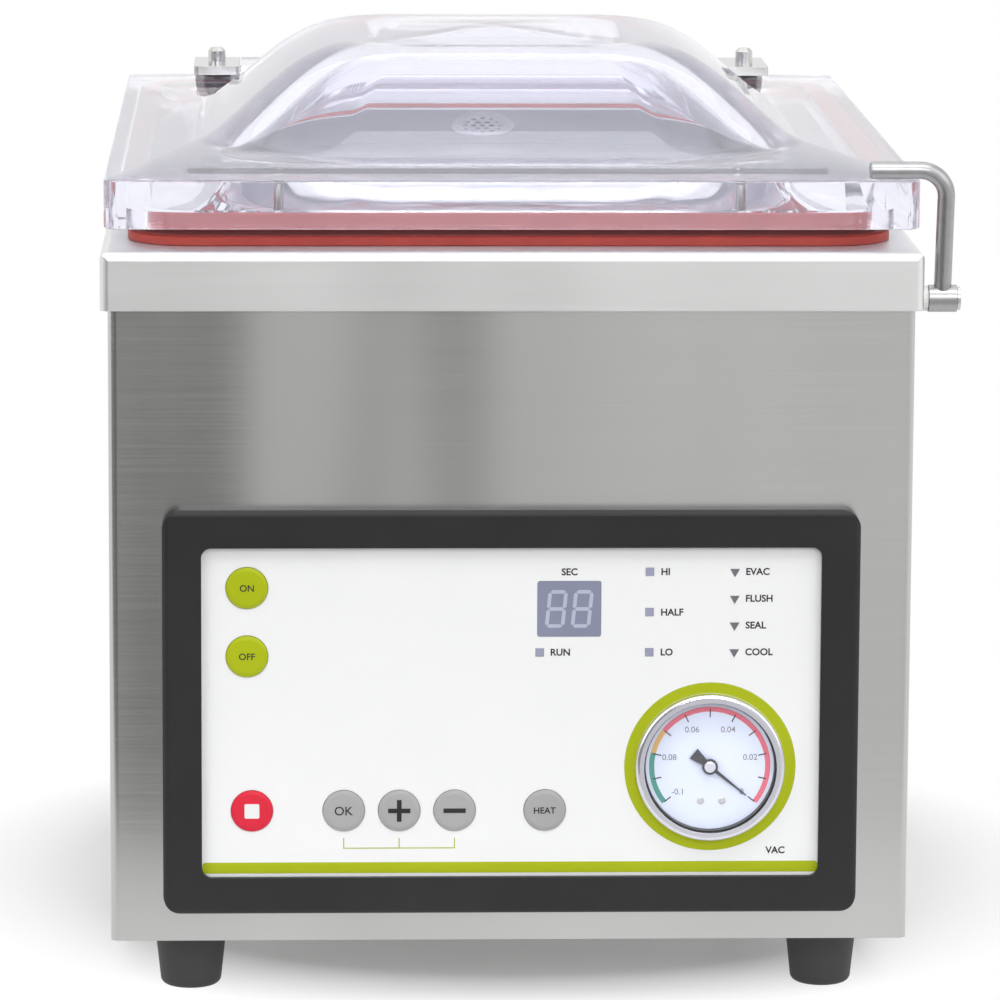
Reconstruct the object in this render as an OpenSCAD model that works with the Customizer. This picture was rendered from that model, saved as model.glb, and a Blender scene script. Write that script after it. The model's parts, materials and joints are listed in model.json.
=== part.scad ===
// Table-top vacuum chamber sealer: a stainless cabinet with a domed clear lid,
// a front control panel with a vacuum gauge, and the pump and valves inside.
// +X is to the right, +Y to the back and +Z up; the table is at Z = 0.

/* [Cabinet] */
// Width across the folded rim of the deck
deck_w = 330; // [315:1:360]
// Depth across the folded rim of the deck
deck_d = 470; // [455:1:500]
// Height of the deck's top face above the table
deck_z = 308.4; // [300:0.1:330]
// Height of the deck's folded rim
rim_h = 23.6; // [18:0.1:30]
// How far the rim stands out past the cabinet walls
rim_over = 3; // [2:0.1:4]
// Thickness of the stainless sheet
sheet = 1.2; // [1:0.1:1.6]
// Outside radius of the sheet's bends
bend_r = 3.5; // [2.5:0.1:5]
// Height of the base plate's turned-up edge
base_edge = 18; // [12:1:30]
// Margin that the back panel overlaps its opening by
back_lap = 12; // [9:1:16]

/* [Feet] */
// Height of a foot
foot_h = 26; // [20:0.5:32]
// Diameter of a foot where it meets the base
foot_top_d = 30; // [26:0.5:36]
// Diameter of a foot near the table
foot_low_d = 25; // [20:0.5:26]
// Distance of the feet from the cabinet's side walls
foot_in_x = 32; // [24:1:44]
// Distance of the feet from the cabinet's front and back walls
foot_in_y = 33; // [24:1:50]

/* [Chamber] */
// Depth of the chamber below the deck
chamber_h = 50; // [40:1:60]
// Corner radius of the chamber
chamber_r = 22; // [14:1:30]
// Thickness of the chamber tub's wall
tub_wall = 1.5; // [1.2:0.1:2.5]
// Width of the lip that the tub hangs by
tub_lip = 6; // [4:0.5:7]
// Diameter of the perforated cover over the suction port
port_d = 29; // [22:0.5:34]
// Thickness of that cover
port_t = 2; // [1.5:0.1:3]

/* [Lid] */
// Distance of the lid's sides inside the deck's side rims
lid_side = 1.5; // [-1:0.5:4]
// Distance of the lid's back edge in front of the deck's back rim
lid_behind = 65; // [60:1:75]
// Thickness of the clear lid
lid_t = 20; // [17:0.5:22]
// Distance of the lid's front edge behind the deck's front rim
lid_back = 5; // [3:0.5:8]
// Height of the gap that the gasket keeps under the lid
lid_gap = 8.5; // [7:0.1:10]
// Corner radius of the lid
lid_r = 6; // [4:0.5:9]
// Distance from the lid's side edges to the dome's foot
dome_side = 34.5; // [33:0.5:45]
// Distance from the lid's back edge to the dome's foot
dome_end = 47; // [42:0.5:72]
// Height of the dome above the lid's top face
dome_h = 39; // [34:0.5:46]
// Extra rise of the dome's crown
dome_crown = 3; // [1:0.1:4]
// How far the dome's sides lean in before the crown
dome_run = 68; // [56:1:72]
// Corner radius of the dome at its foot
dome_r = 56; // [50:1:70]
// Distance from the lid's front edge to the dome's foot
dome_back = 83; // [78:1:94]
// Wall of the dome
dome_wall = 11; // [8:0.5:13]

/* [Gasket] */
// Width of the gasket
gasket_w = 10; // [8:0.5:11]
// Depth of the groove that holds the gasket
groove_h = 6; // [4:0.5:8]
// Distance from the lid's side edges to the gasket
gasket_in_x = 8.5; // [7:0.5:10]
// Distance from the lid's front and back edges to the gasket
gasket_in_y = 14; // [12:0.5:16]
// Corner radius of the gasket's outside
gasket_r = 26; // [22:1:34]
// Height of the gasket's lip on the deck
gasket_lip = 3.6; // [1.5:0.1:4]
// Height of the gasket's root below the lid
gasket_root = 0.4; // [0.2:0.1:2.5]
// How far the gasket's neck is drawn in on each side
gasket_neck = 3.2; // [1:0.1:3.4]
// Clear band of deck between the gasket and the chamber
gasket_band = 6; // [4:0.5:8]

/* [Seal bar] */
// Distance from the chamber's side walls to the seal bar's ends
seal_end = 10.5; // [7:0.5:25]
// Width of the seal bar
seal_w = 16; // [14:0.5:20]
// Height of the seal bar
seal_h = 24; // [20:0.5:27]
// Width of the heating strip
strip_w = 8; // [5:0.5:10]
// Lift of the seal bar
seal_lift = 8; // [5:0.5:9]
// Distance of the seal bar's middle behind the chamber's front wall
seal_back = 22; // [18:0.5:30]
// Diameter of the guide rods under the seal bar
guide_d = 10; // [8:0.5:12]
// Distance of the guide rods from the seal bar's ends
guide_in = 45; // [30:1:55]
// Height of the counter bar under the lid
counter_h = 6; // [4:0.5:7]
// Height of the soft pad on the counter bar
pad_h = 4; // [3:0.5:5]
// Distance of the counter bar's screws from its ends
counter_in = 37; // [27:1:57]

/* [Hinge] */
// Distance of the hinge axis behind the lid
hinge_back = 22; // [20:0.5:28]
// Diameter of the hinge shaft
shaft_d = 12; // [10:0.5:13]
// Outside diameter of the hinge knuckles
knuckle_d = 20; // [18:0.5:22]
// Width of a hinge arm
arm_w = 21; // [18:0.5:24]
// Thickness of a hinge arm
arm_t = 4; // [3:0.5:5]
// Distance of the hinge arms' middles from the lid's side edges
arm_in = 41; // [33:0.5:47]
// Length of a hinge arm over the lid
arm_lap = 20; // [16:1:26]
// Thread diameter of the lid's bolts
bolt_d = 6; // [5:0.5:8]
// Thickness of the soft washers on the lid
washer_t = 1.5; // [1:0.1:2.5]
// Width of a hinge stand
stand_w = 13; // [10:0.5:16]
// Depth of a hinge stand's foot
stand_d = 30; // [26:1:36]

/* [Lid springs] */
// Diameter of the spring wire
wire_d = 2.6; // [2:0.1:3]
// Radius of the spring at the middle of its wire
coil_r = 9.2; // [8.8:0.1:9.8]
// Gap between neighbouring curls
coil_gap = 0.8; // [0.6:0.1:1.5]
// Number of curls
curls = 6; // [4:1:9]

/* [Latch] */
// Diameter of the hook's rod
rod_d = 7; // [6:0.5:8]
// Radius of the hook's bend at the middle of the rod
rod_bend = 11; // [9:0.5:14]
// Distance from the hook's pivot to its horizontal leg
hook_arm = 54.3; // [50:0.1:58]
// Length of the hook's horizontal leg inwards of its upright
hook_leg = 31; // [27:1:36]
// Diameter of the hook's eye
eye_d = 11; // [10:0.5:13]
// Width of the hook's eye
eye_w = 11.4; // [9:0.2:13]
// Diameter of the latch pin
pin_d = 6; // [5:0.5:7]
// Thickness of the pale spacer between rim and hook
spacer_t = 2.3; // [1.5:0.1:4]
// Distance of the latch pivot behind the deck's front rim
latch_back = 11.5; // [11:0.5:14]
// Depth of the latch pivot below the deck's top face
latch_down = 20; // [8:0.5:20]
// Thickness of the latch pin's head
pin_head = 1.2; // [0.8:0.1:2]

/* [Control panel] */
// Width of the panel's frame
bezel_w = 281; // [275:1:290]
// Height of the panel's frame
bezel_h = 166; // [160:1:176]
// How far the frame stands proud of the cabinet
bezel_t = 8; // [7:0.5:11]
// Corner radius of the frame
bezel_r = 8; // [5:0.5:12]
// Width of the frame's window
window_w = 249.6; // [244:0.1:254]
// Height of the frame's window
window_h = 135.6; // [132:0.1:140]
// Corner radius of the window
window_r = 4; // [2:0.5:6]
// Depth of the lip in front of the overlay
lip_t = 2.5; // [1.5:0.1:3]
// Height of the panel's middle above the table
panel_z = 121.7; // [112:0.1:126]
// Thickness of the overlay
overlay_t = 2; // [1.5:0.1:2.2]
// How far the overlay reaches behind the frame's lip
overlay_lap = 3; // [2:0.5:4]

/* [Keys and lamps] */
// Diameter of a key
key_d = 16.8; // [15:0.1:18]
// How far a key stands proud of the overlay
key_rise = 0.9; // [0.6:0.1:1.4]
// Travel of a key
key_travel = 0.5; // [0.3:0.1:0.8]
// Height of the lower row of keys above the panel's middle
row_z = -40.5; // [-44:0.1:-36]
// Place of the start and halt keys left of the panel's middle
start_x = -106.5; // [-110:0.1:-102]
// Height of the start key above the panel's middle
start_z = 51.2; // [46:0.1:54]
// Distance from the start key down to the halt key
start_gap = 28; // [24:0.1:34]
// Place of the stop key
stop_x = -104.6; // [-110:0.1:-100]
// Place of the set key
set_x = -67.5; // [-72:0.1:-64]
// Distance between the set, plus and minus keys
set_gap = 22.4; // [20:0.1:24]
// Place of the temperature key
temp_x = 13.8; // [6:0.1:18]
// Width of the display
display_w = 25.6; // [22:0.1:30]
// Height of the display
display_h = 22.7; // [18:0.1:26]
// Place of the display's middle
display_x = 23.2; // [20:0.1:26]
// Height of the display's middle above the panel's middle
display_z = 42.4; // [38:0.1:46]
// Side of an indicator lamp
lamp_s = 3.3; // [2.5:0.1:4]
// Place of the running lamp
run_x = 11.4; // [9:0.1:14]
// Place of the level lamps
level_x = 55.6; // [50:0.1:60]
// Place of the process lamps
stage_x = 89.9; // [80:0.1:96]
// Height of the top lamps above the panel's middle
lamp_top = 57.5; // [54:0.1:60]
// Height of the bottom lamps above the panel's middle
lamp_low = 24.5; // [22:0.1:27]

/* [Gauge] */
// Diameter of the gauge's bright ring
ring_d = 60.5; // [58:0.1:64]
// How far the ring stands proud of the overlay
ring_t = 4; // [3:0.1:5]
// Width of the ring's front lip
ring_lip = 3.4; // [3.2:0.1:5]
// Place of the gauge's middle
gauge_x = 80.6; // [76:0.1:84]
// Height of the gauge's middle above the panel's middle
gauge_z = -22.7; // [-26:0.1:-20]
// Depth of the gauge's case behind the cabinet front
gauge_depth = 24; // [18:0.5:34]
// Length of the needle from its spindle
needle_len = 19; // [16:0.1:20]
// Diameter of the needle's spindle
spindle_d = 2; // [1.5:0.1:3]
// Scale angle of the needle at rest, clockwise from straight up
needle_rest = 129; // [110:1:140]

/* [Pump and drive] */
// Diameter of the motor
motor_d = 124; // [110:1:136]
// Length of the motor
motor_l = 148; // [130:1:160]
// Width of the pump block
pump_w = 104; // [90:1:110]
// Depth of the pump block
pump_d = 120; // [100:1:134]
// Height of the pump block
pump_h = 142; // [130:1:150]
// Diameter of the motor's shaft
drive_d = 14; // [12:0.5:18]
// Depth of the fan space at the motor's end
fan_h = 26; // [20:1:34]
// Diameter of the oil mist filter
filter_d = 58; // [48:1:64]
// Diameter of the vacuum hose
hose_d = 22; // [18:1:26]
// Width of the transformer
trafo_w = 84; // [70:1:96]
// Depth of the transformer's core
trafo_d = 34; // [26:1:44]
// Height of the transformer
trafo_h = 70; // [56:1:90]
// Distance of the transformer behind the cabinet's front
trafo_back = 92; // [80:1:110]
// Distance of the transformer from the cabinet's left side
trafo_in = 92; // [60:1:110]
// Distance of the pump's middle from the cabinet's back
pump_back = 162; // [155:1:175]
// Distance of the pump from the cabinet's left side
pump_in = 14; // [8:1:24]
// Side of the valve block
valve_s = 44; // [36:1:54]
// Height of the valve block
valve_h = 50; // [40:1:60]
// Diameter of the valve's coil
coil_d = 28; // [22:1:34]
// Length of the valve's coil
coil_l = 34; // [26:1:44]

/* [Back wall] */
// Distance of the mains socket from the cabinet's left side
inlet_in = 62; // [54:1:76]
// Height of the mains socket above the base
inlet_up = 62; // [56:1:80]
// Distance from the mains socket to the fuse holder
fuse_gap = 48; // [36:1:60]
// Width of a vent slot
vent_w = 34; // [24:1:38]
// Height of a vent slot
vent_h = 4; // [3:0.5:6]
// Distance between the rows of vent slots
vent_step = 12; // [9:0.5:14]
// Number of rows of vent slots
vent_rows = 9; // [3:1:10]

/* [Hidden] */
$fn = 48;
fit = 0.2;
run_fit = 0.05;
seat = 0.1;
eps = 0.5;

cab_w = deck_w - 2 * rim_over;
cab_d = deck_d - 2 * rim_over;
front = -cab_d / 2;
base_t = 2;

lid_w = deck_w - 2 * lid_side;
lid_d = deck_d - lid_back - lid_behind;
lid_front = -deck_d / 2 + lid_back;
lid_y = lid_front + lid_d / 2;
lid_end = lid_front + lid_d;
lid_low = deck_z + lid_gap;
lid_top = lid_low + lid_t;

gasket_ow = lid_w - 2 * gasket_in_x;
gasket_od = lid_d - 2 * gasket_in_y;
chamber_w = gasket_ow - 2 * (gasket_w + gasket_band);
chamber_d = gasket_od - 2 * (gasket_w + gasket_band);
chamber_front = lid_y - chamber_d / 2;
chamber_end = lid_y + chamber_d / 2;
chamber_floor = deck_z - chamber_h;
tub_low = chamber_floor - tub_wall;
lip_clear = 1;
flange_w = cab_w / 2 - sheet - chamber_w / 2 - tub_lip - lip_clear;
port_down = 3;
port_z = deck_z - port_down - port_d / 2;

dome_w = lid_w - 2 * dome_side;
dome_d = lid_d - dome_back - dome_end;
dome_y = lid_front + dome_back + dome_d / 2;
dome_in = 9;

seal_y = chamber_front + seal_back;
pad_z = lid_low - counter_h - pad_h;
pad_clear = 0.3;
seal_len = chamber_w - 2 * seal_end;
seal_top = pad_z - pad_clear - seal_lift;
tape_t = 0.3;
strip_t = 0.4;
bar_top = seal_top - tape_t - strip_t;
bar_low = bar_top - seal_h;
cup_wall = 6;
cup_d = guide_d + 2 * cup_wall;
cup_floor = 1;
guide_gap = seal_len - 2 * guide_in;
counter_l = seal_len + 4;
counter_gap = counter_l - 2 * counter_in;

arm_low = lid_top + washer_t;
hinge_z = arm_low + arm_t - knuckle_d / 2;
hinge_y = lid_end + hinge_back;
arm_x = lid_w / 2 - arm_in;
arm_clear = 0.6;
stand_x = arm_x - arm_w / 2 - arm_clear - stand_w;
shaft_l = 2 * arm_x + arm_w;
bolt_y = lid_end - gasket_in_y / 2;
bolt_nut = 5;
washer_d = bolt_d + 6.5;
screw_d = 4;
counter_head = screw_d + 4;
counter_sunk = counter_h * 0.55;
stand_foot = 5;
stand_toe = 8.5;
stand_hole = stand_d / 2 - 5;

spring_clear = 1;
wire_clear = 0.25;
spring_x = stand_x - spring_clear;
coil_pitch = wire_d + coil_gap;
lid_drop = hinge_z - lid_low + wire_d / 2 + wire_clear;
deck_drop = hinge_z - deck_z - wire_d / 2 - wire_clear;
leg_back = 26;
leg_lap = 5;
front_way = norm([lid_drop, hinge_back]);
back_way = norm([deck_drop, leg_back]);
front_lean = atan2(lid_drop, hinge_back) - asin(coil_r / front_way);
back_lean = atan2(deck_drop, leg_back) - asin(coil_r / back_way);
front_leg = sqrt(front_way * front_way - coil_r * coil_r) + leg_lap;
rear_leg = sqrt(back_way * back_way - coil_r * coil_r);

latch_y = -deck_d / 2 + latch_back;
latch_z = deck_z - latch_down;
eye_x = deck_w / 2 + spacer_t + fit;
rod_x = eye_x + eye_w / 2;
hook_clear = 0.9;
rod_edge = 0.6;
hook_lean = asin((latch_y - lid_front + rod_d / 2 + hook_clear) / hook_arm);
latch_reach = spacer_t + 2 * fit + eye_w + pin_head;

face_z = bezel_t - lip_t;
pocket_w = window_w + 2 * overlay_lap;
pocket_h = window_h + 2 * overlay_lap;
overlay_low = face_z - overlay_t;
flange_t = 1;
flange_low = overlay_low - seat - flange_t;
switch_top = flange_low - key_travel - seat;
board_t = 1.6;
board_top = -sheet - 3.8;
opening_side = 6;
opening_end = 7;
opening_w = window_w - 2 * opening_side;
opening_h = window_h - 2 * opening_end;
lamp_step = (lamp_top - lamp_low) / 2;
stage_step = (lamp_top - lamp_low) / 3;
key_spots = [
    [start_x, start_z], [start_x, start_z - start_gap], [stop_x, row_z], [set_x, row_z],
    [set_x + set_gap, row_z], [set_x + 2 * set_gap, row_z], [temp_x, row_z]
];
square_lamps = concat([[run_x, lamp_low]], [for (i = [0:2]) [level_x, lamp_low + i * lamp_step]]);
arrow_lamps = [for (i = [0:3]) [stage_x, lamp_low + i * stage_step]];

case_d = ring_d - 5;
case_wall = 1.5;
dial_z = face_z - 2;
dial_t = 0.6;
glass_z = face_z + ring_t - 2.6;
glass_t = 1.4;
needle_z = dial_z + dial_t + 0.8;
stem_l = 12;

base_top = foot_h + base_t;
back_y = cab_d / 2;
pump_y = back_y - pump_back;
motor_z = base_top + pump_h / 2;
pump_x = -cab_w / 2 + sheet + pump_in;
motor_x = pump_x + pump_w;
fan_clear = 3;
drive_in = 28;
inlet_z = foot_h + inlet_up;
inlet_x = -cab_w / 2 + inlet_in;
fuse_x = inlet_x + fuse_gap;
fuse_out = 9;
flange_out = 3;
back_edge = 30;
rim_clear = 4;
rear_w = cab_w - 2 * back_edge;
rear_low = foot_h + base_edge + back_lap;
rear_high = deck_z - rim_h - back_lap - rim_clear;
rear_h = rear_high - rear_low;
rear_z = (rear_high + rear_low) / 2;
vent_gap = 14;
vent_down = 18;
inlet_bw = 28;
inlet_bh = 20.5;
inlet_deep = 20;
fuse_d = 12;
fuse_deep = 30;
spout_l = 16;
hose_wall = 3;
thin_hose_d = 7;
nipple_l = 10;
thin_bend = 18;
thin_run = 30;
nipple_y = front + gauge_depth + stem_l + thin_run + thin_bend;
hose_bend = 30;
drop_y = chamber_end + tub_wall + spout_l + hose_bend;
pipe_down = 40;
pipe_z = base_top + pump_h - pipe_down;
valve_top = pipe_z + valve_h / 2;
pipe_x = pump_x + pump_w / 2;

// The frame's origin is under the middle of the whole machine's box
front_reach = cab_d / 2 + max(bezel_t, face_z + ring_t);
rear_reach = back_y + sheet + fuse_out;
mid_x = -latch_reach / 2;
mid_y = (front_reach - rear_reach) / 2;

steel = [0.70, 0.70, 0.68];
bright = [0.82, 0.82, 0.80];
alloy = [0.78, 0.78, 0.78];
clear_tint = [0.90, 0.90, 0.96, 0.45];
orange_red = [0.80, 0.24, 0.14];
charcoal = [0.22, 0.22, 0.23];
black_rubber = [0.12, 0.12, 0.12];
paper_white = [0.95, 0.95, 0.95];
key_green = [0.71, 0.76, 0.08];
key_red = [0.90, 0.18, 0.27];
key_grey = [0.69, 0.69, 0.69];

// Flat outline with round corners, about its middle
module rounded(w, d, r) {
    square([w - 2 * r, d], center = true);
    square([w, d - 2 * r], center = true);
    for (x = [-1, 1], y = [-1, 1])
        translate([x * (w / 2 - r), y * (d / 2 - r)]) circle(r);
}

// Plate with round corners, standing on its own base
module slab(w, d, h, r) linear_extrude(h) rounded(w, d, r);

// Upright outline with its two top corners round
module arch(w, h, r) {
    translate([-w / 2, 0]) square([w, h - r]);
    translate([r - w / 2, 0]) square([w - 2 * r, h]);
    for (x = [-1, 1]) translate([x * (w / 2 - r), h - r]) circle(r);
}

// Block with round upright corners and round top edges
module soft_box(w, d, h, corner, edge) {
    intersection() {
        slab(w, d, h, corner);
        rotate([90, 0, 0]) translate([0, 0, -d / 2]) linear_extrude(d) arch(w, h, edge);
        rotate([90, 0, 90]) translate([0, 0, -w / 2]) linear_extrude(w) arch(d, h, edge);
    }
}

// Cylinder along X, from its left end
module rod_along_x(d, l) rotate([0, 90, 0]) cylinder(d = d, h = l);

// Shapes drawn upright on the control panel, with their Z towards the front
module on_panel(x = 0, z = 0) {
    translate([x, front, panel_z + z]) rotate([90, 0, 0]) children();
}

// The same shape at both sides of the machine
module both_sides() {
    children();
    mirror([1, 0, 0]) children();
}

// Shapes drawn upright on the back wall, with their Z towards the back
module on_back(x = 0, z = 0) {
    translate([x, back_y, z]) rotate([90, 0, 180]) children();
}

// Four spots of a rectangle about the middle
module four(w, d) {
    for (x = [-1, 1], y = [-1, 1]) translate([x * w / 2, y * d / 2]) children();
}

// Points of a level loop with round corners
corner_n = 10;
function loop(w, d, r, z) = [
    for (k = [0:3], i = [0:corner_n])
        let (a = 90 * (k + i / corner_n), cx = k == 0 || k == 3 ? 1 : -1, cy = k < 2 ? 1 : -1)
        [cx * (w / 2 - r) + r * cos(a), cy * (d / 2 - r) + r * sin(a), z]
];

// Height of the blown dome's side, from foot to shoulder, as a share of its rise
function swell(t) = pow(sin(90 * pow(t, 0.85)), 2);

// Closed dome on a level foot: an S-shaped side, then a gently crowned top
side_n = 10;
crown_n = 3;
module dome(w, d, r, run, rise, crown, skirt) {
    side = [
        for (i = [0:side_n])
            let (t = i / side_n, in = run * t)
            loop(w - 2 * in, d - 2 * in, r - in / 2, rise * swell(t))
    ];
    top = [
        for (i = [1:crown_n - 1])
            let (s = 1 - i / crown_n)
            loop((w - 2 * run) * s, (d - 2 * run) * s, (r - run / 2) * s, rise + crown * (1 - s * s))
    ];
    rings = concat([loop(w, d, r, -skirt)], side, top);
    m = len(rings[0]);
    last = len(rings) - 1;
    points = concat([for (ring = rings, p = ring) p], [[0, 0, rise + crown]]);
    walls = [
        for (j = [0:last - 1], i = [0:m - 1])
            let (a = j * m + i, b = j * m + (i + 1) % m)
            each [[a, a + m, b + m], [a, b + m, b]]
    ];
    cap = [for (i = [0:m - 1]) [last * m + i, len(points) - 1, last * m + (i + 1) % m]];
    foot = [for (i = [1:m - 2]) [0, i, i + 1]];
    polyhedron(points, concat(walls, cap, foot));
}

// Cabinet

module outer_shell() {
    h = deck_z - sheet - foot_h;
    inner_r = bend_r - sheet;
    through = sheet + 2 * eps;
    color(steel) difference() {
        translate([0, 0, foot_h]) difference() {
            soft_box(cab_w, cab_d, h, bend_r, bend_r);
            translate([0, 0, -eps])
                soft_box(cab_w - 2 * sheet, cab_d - 2 * sheet, h - sheet + eps, inner_r, inner_r);
            slab(cab_w - 2 * (sheet + flange_w), cab_d - 2 * (sheet + flange_w), h + eps, bend_r);
        }
        on_panel() translate([0, 0, -sheet - eps]) slab(opening_w, opening_h, through, window_r);
        on_back(0, rear_z) translate([0, 0, -sheet - eps]) {
            slab(rear_w, rear_h, through, window_r);
            rear_screw_spots() cylinder(d = screw_d, h = through);
        }
        translate([cab_w / 2 - sheet - eps, latch_y, latch_z]) rod_along_x(pin_d + 2 * fit, through);
        translate([0, 0, deck_z - 3 * sheet]) both_sides()
            stand_spots() cylinder(d = screw_d + fit, h = 3 * sheet);
    }
}

module rear_screw_spots() {
    for (x = [-1, 1], z = [-1, 0, 1])
        translate([x * (rear_w + back_lap) / 2, z * (rear_h + back_lap) / 2]) children();
}

module rear_panel() {
    through = sheet + 2 * eps;
    color(steel) on_back(0, rear_z) difference() {
        slab(rear_w + 2 * back_lap, rear_h + 2 * back_lap, sheet, bend_r);
        translate([0, 0, -eps]) {
            rear_screw_spots() cylinder(d = screw_d + fit, h = through);
            for (side = [-1, 0, 1], i = [0:vent_rows - 1])
                translate([side * (vent_w + vent_gap), rear_h / 2 - vent_down - i * vent_step])
                    slab(vent_w, vent_h, through, vent_h / 2 - 0.1);
            translate([-inlet_x, inlet_z - rear_z])
                slab(inlet_bw + 2 * fit, inlet_bh + 2 * fit, through, 1);
            translate([-fuse_x, inlet_z - rear_z]) cylinder(d = fuse_d + 2 * fit, h = through);
        }
    }
}

module panel_screws() {
    head_d = screw_d + 3.4;
    head_h = 2;
    shank = sheet + 5;
    color(bright) on_back(0, rear_z) translate([0, 0, sheet]) rear_screw_spots() {
        cylinder(d1 = head_d, d2 = head_d - head_h, h = head_h);
        translate([0, 0, -shank]) cylinder(d = screw_d - fit, h = shank);
    }
}

module base_plate() {
    w = cab_w - 2 * (sheet + fit);
    d = cab_d - 2 * (sheet + fit);
    color(steel) translate([0, 0, foot_h]) difference() {
        slab(w, d, base_edge, bend_r - sheet);
        translate([0, 0, base_t]) slab(w - 2 * base_t, d - 2 * base_t, base_edge, 1);
        translate([0, 0, -eps]) foot_spots() cylinder(d = screw_d + fit, h = base_t + 2 * eps);
    }
}

module foot_spots() four(cab_w - 2 * foot_in_x, cab_d - 2 * foot_in_y) children();

module rubber_feet() {
    edge = 3;
    r = foot_low_d / 2;
    recess = foot_h * 0.35;
    color(black_rubber) foot_spots() difference() {
        rotate_extrude() {
            polygon([[0, 0], [r - edge, 0], [r, edge], [foot_top_d / 2, foot_h], [0, foot_h]]);
            translate([r - edge, edge]) circle(edge);
        }
        translate([0, 0, -eps]) cylinder(d = screw_d + 7, h = recess + eps);
        cylinder(d = screw_d + fit, h = foot_h + eps);
    }
}

module foot_screws() {
    recess = foot_h * 0.35;
    color(bright) foot_spots() {
        translate([0, 0, recess - 3]) cylinder(d = screw_d + 4, h = 3);
        translate([0, 0, recess - 1]) cylinder(d = screw_d, h = foot_h - recess + base_t + 5);
    }
}

module top_deck() {
    inner_r = bend_r - sheet;
    through = sheet + 2 * eps;
    color(bright) difference() {
        translate([0, 0, deck_z - rim_h]) difference() {
            soft_box(deck_w, deck_d, rim_h, bend_r, bend_r);
            translate([0, 0, -eps])
                soft_box(deck_w - 2 * sheet, deck_d - 2 * sheet, rim_h - sheet + eps, inner_r, inner_r);
        }
        translate([0, lid_y, deck_z - sheet - eps]) slab(chamber_w, chamber_d, through, chamber_r);
        translate([0, 0, deck_z - sheet - eps]) both_sides()
            stand_spots() cylinder(d = screw_d + fit, h = through);
        translate([deck_w / 2 - sheet - eps, latch_y, latch_z]) rod_along_x(pin_d + fit, through);
    }
}

// Chamber

module chamber_tub() {
    rise = deck_z - sheet - tub_low;
    lip_r = chamber_r + tub_lip;
    color(bright) difference() {
        union() {
            translate([0, lid_y, tub_low]) difference() {
                union() {
                    slab(chamber_w + 2 * tub_wall, chamber_d + 2 * tub_wall, rise, chamber_r + tub_wall);
                    translate([0, 0, rise - tub_wall])
                        slab(chamber_w + 2 * tub_lip, chamber_d + 2 * tub_lip, tub_wall, lip_r);
                }
                translate([0, 0, tub_wall]) slab(chamber_w, chamber_d, rise, chamber_r);
            }
            translate([0, chamber_end + tub_wall, port_z]) rotate([-90, 0, 0])
                cylinder(d = hose_d, h = spout_l);
            translate([gauge_x, nipple_y, tub_low - nipple_l])
                cylinder(d = thin_hose_d, h = nipple_l + tub_wall / 2);
        }
        translate([0, chamber_end - eps, port_z]) rotate([-90, 0, 0])
            cylinder(d = hose_d - 2 * hose_wall, h = spout_l + tub_wall + 2 * eps);
        translate([gauge_x, nipple_y, tub_low - nipple_l - eps])
            cylinder(d = thin_hose_d - hose_wall, h = nipple_l + tub_wall + 2 * eps);
    }
}

// Round cover with a raised rim and rings of small holes, on the chamber's back wall
module port_cover() {
    hole = 2.6;
    rim = 3;
    color(bright) translate([0, chamber_end, port_z]) rotate([90, 0, 0]) difference() {
        cylinder(d = port_d, h = port_t);
        translate([0, 0, port_t * 0.6]) cylinder(d = port_d - 2 * rim, h = port_t);
        for (ring = [0:2], i = [0:max(0, 6 * ring - 1)])
            rotate(360 * i / max(1, 6 * ring)) translate([ring * port_d / 7, 0, -eps])
                cylinder(d = hole, h = port_t + 2 * eps);
    }
}

module guide_spots() {
    for (x = [-1, 1]) translate([x * guide_gap / 2, seal_y, 0]) children();
}

module seal_cups() {
    color(alloy) guide_spots() translate([0, 0, chamber_floor]) difference() {
        cylinder(d = cup_d, h = bar_low - fit - chamber_floor);
        translate([0, 0, cup_floor]) cylinder(d = guide_d + 2 * run_fit, h = chamber_h);
    }
}

// Bar with sloping shoulders, and the two rods that guide it
module seal_bar() {
    shoulder = 3;
    color(alloy) {
        translate([-seal_len / 2, seal_y, bar_low]) rotate([90, 0, 90]) linear_extrude(seal_len) polygon([
            [-seal_w / 2, 0], [seal_w / 2, 0], [seal_w / 2, seal_h - shoulder],
            [strip_w / 2 + 1, seal_h], [-strip_w / 2 - 1, seal_h], [-seal_w / 2, seal_h - shoulder]
        ]);
        guide_spots() translate([0, 0, chamber_floor + cup_floor + eps])
            cylinder(d = guide_d, h = bar_low - chamber_floor);
    }
}

module seal_strip() {
    color([0.6, 0.55, 0.5]) translate([0, seal_y, bar_top + strip_t / 2])
        cube([seal_len - 4, strip_w - 2, strip_t], center = true);
}

module seal_tape() {
    color([0.75, 0.6, 0.4]) translate([0, seal_y, bar_top + strip_t + tape_t / 2])
        cube([seal_len, strip_w, tape_t], center = true);
}

// Lid

module lid() {
    hollow_w = dome_w - 2 * dome_in;
    hollow_d = dome_d - 2 * dome_in;
    hollow_h = lid_t + dome_h - dome_wall;
    color(clear_tint) difference() {
        union() {
            translate([0, lid_y, lid_low]) slab(lid_w, lid_d, lid_t, lid_r);
            translate([0, dome_y, lid_top])
                dome(dome_w, dome_d, dome_r, dome_run, dome_h, dome_crown, lid_t / 3);
        }
        translate([0, dome_y, lid_low])
            dome(hollow_w, hollow_d, dome_r - dome_in, dome_run, hollow_h, dome_crown, eps);
        translate([0, lid_y, lid_low - eps]) gasket_ring(groove_h + eps, 0);
        both_sides() translate([arm_x, bolt_y, lid_low - eps])
            cylinder(d = bolt_d + fit, h = lid_t + 2 * eps);
        counter_spots() translate([0, 0, lid_low - eps])
            cylinder(d = screw_d + 2 * run_fit, h = lid_t * 0.7);
    }
}

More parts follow.
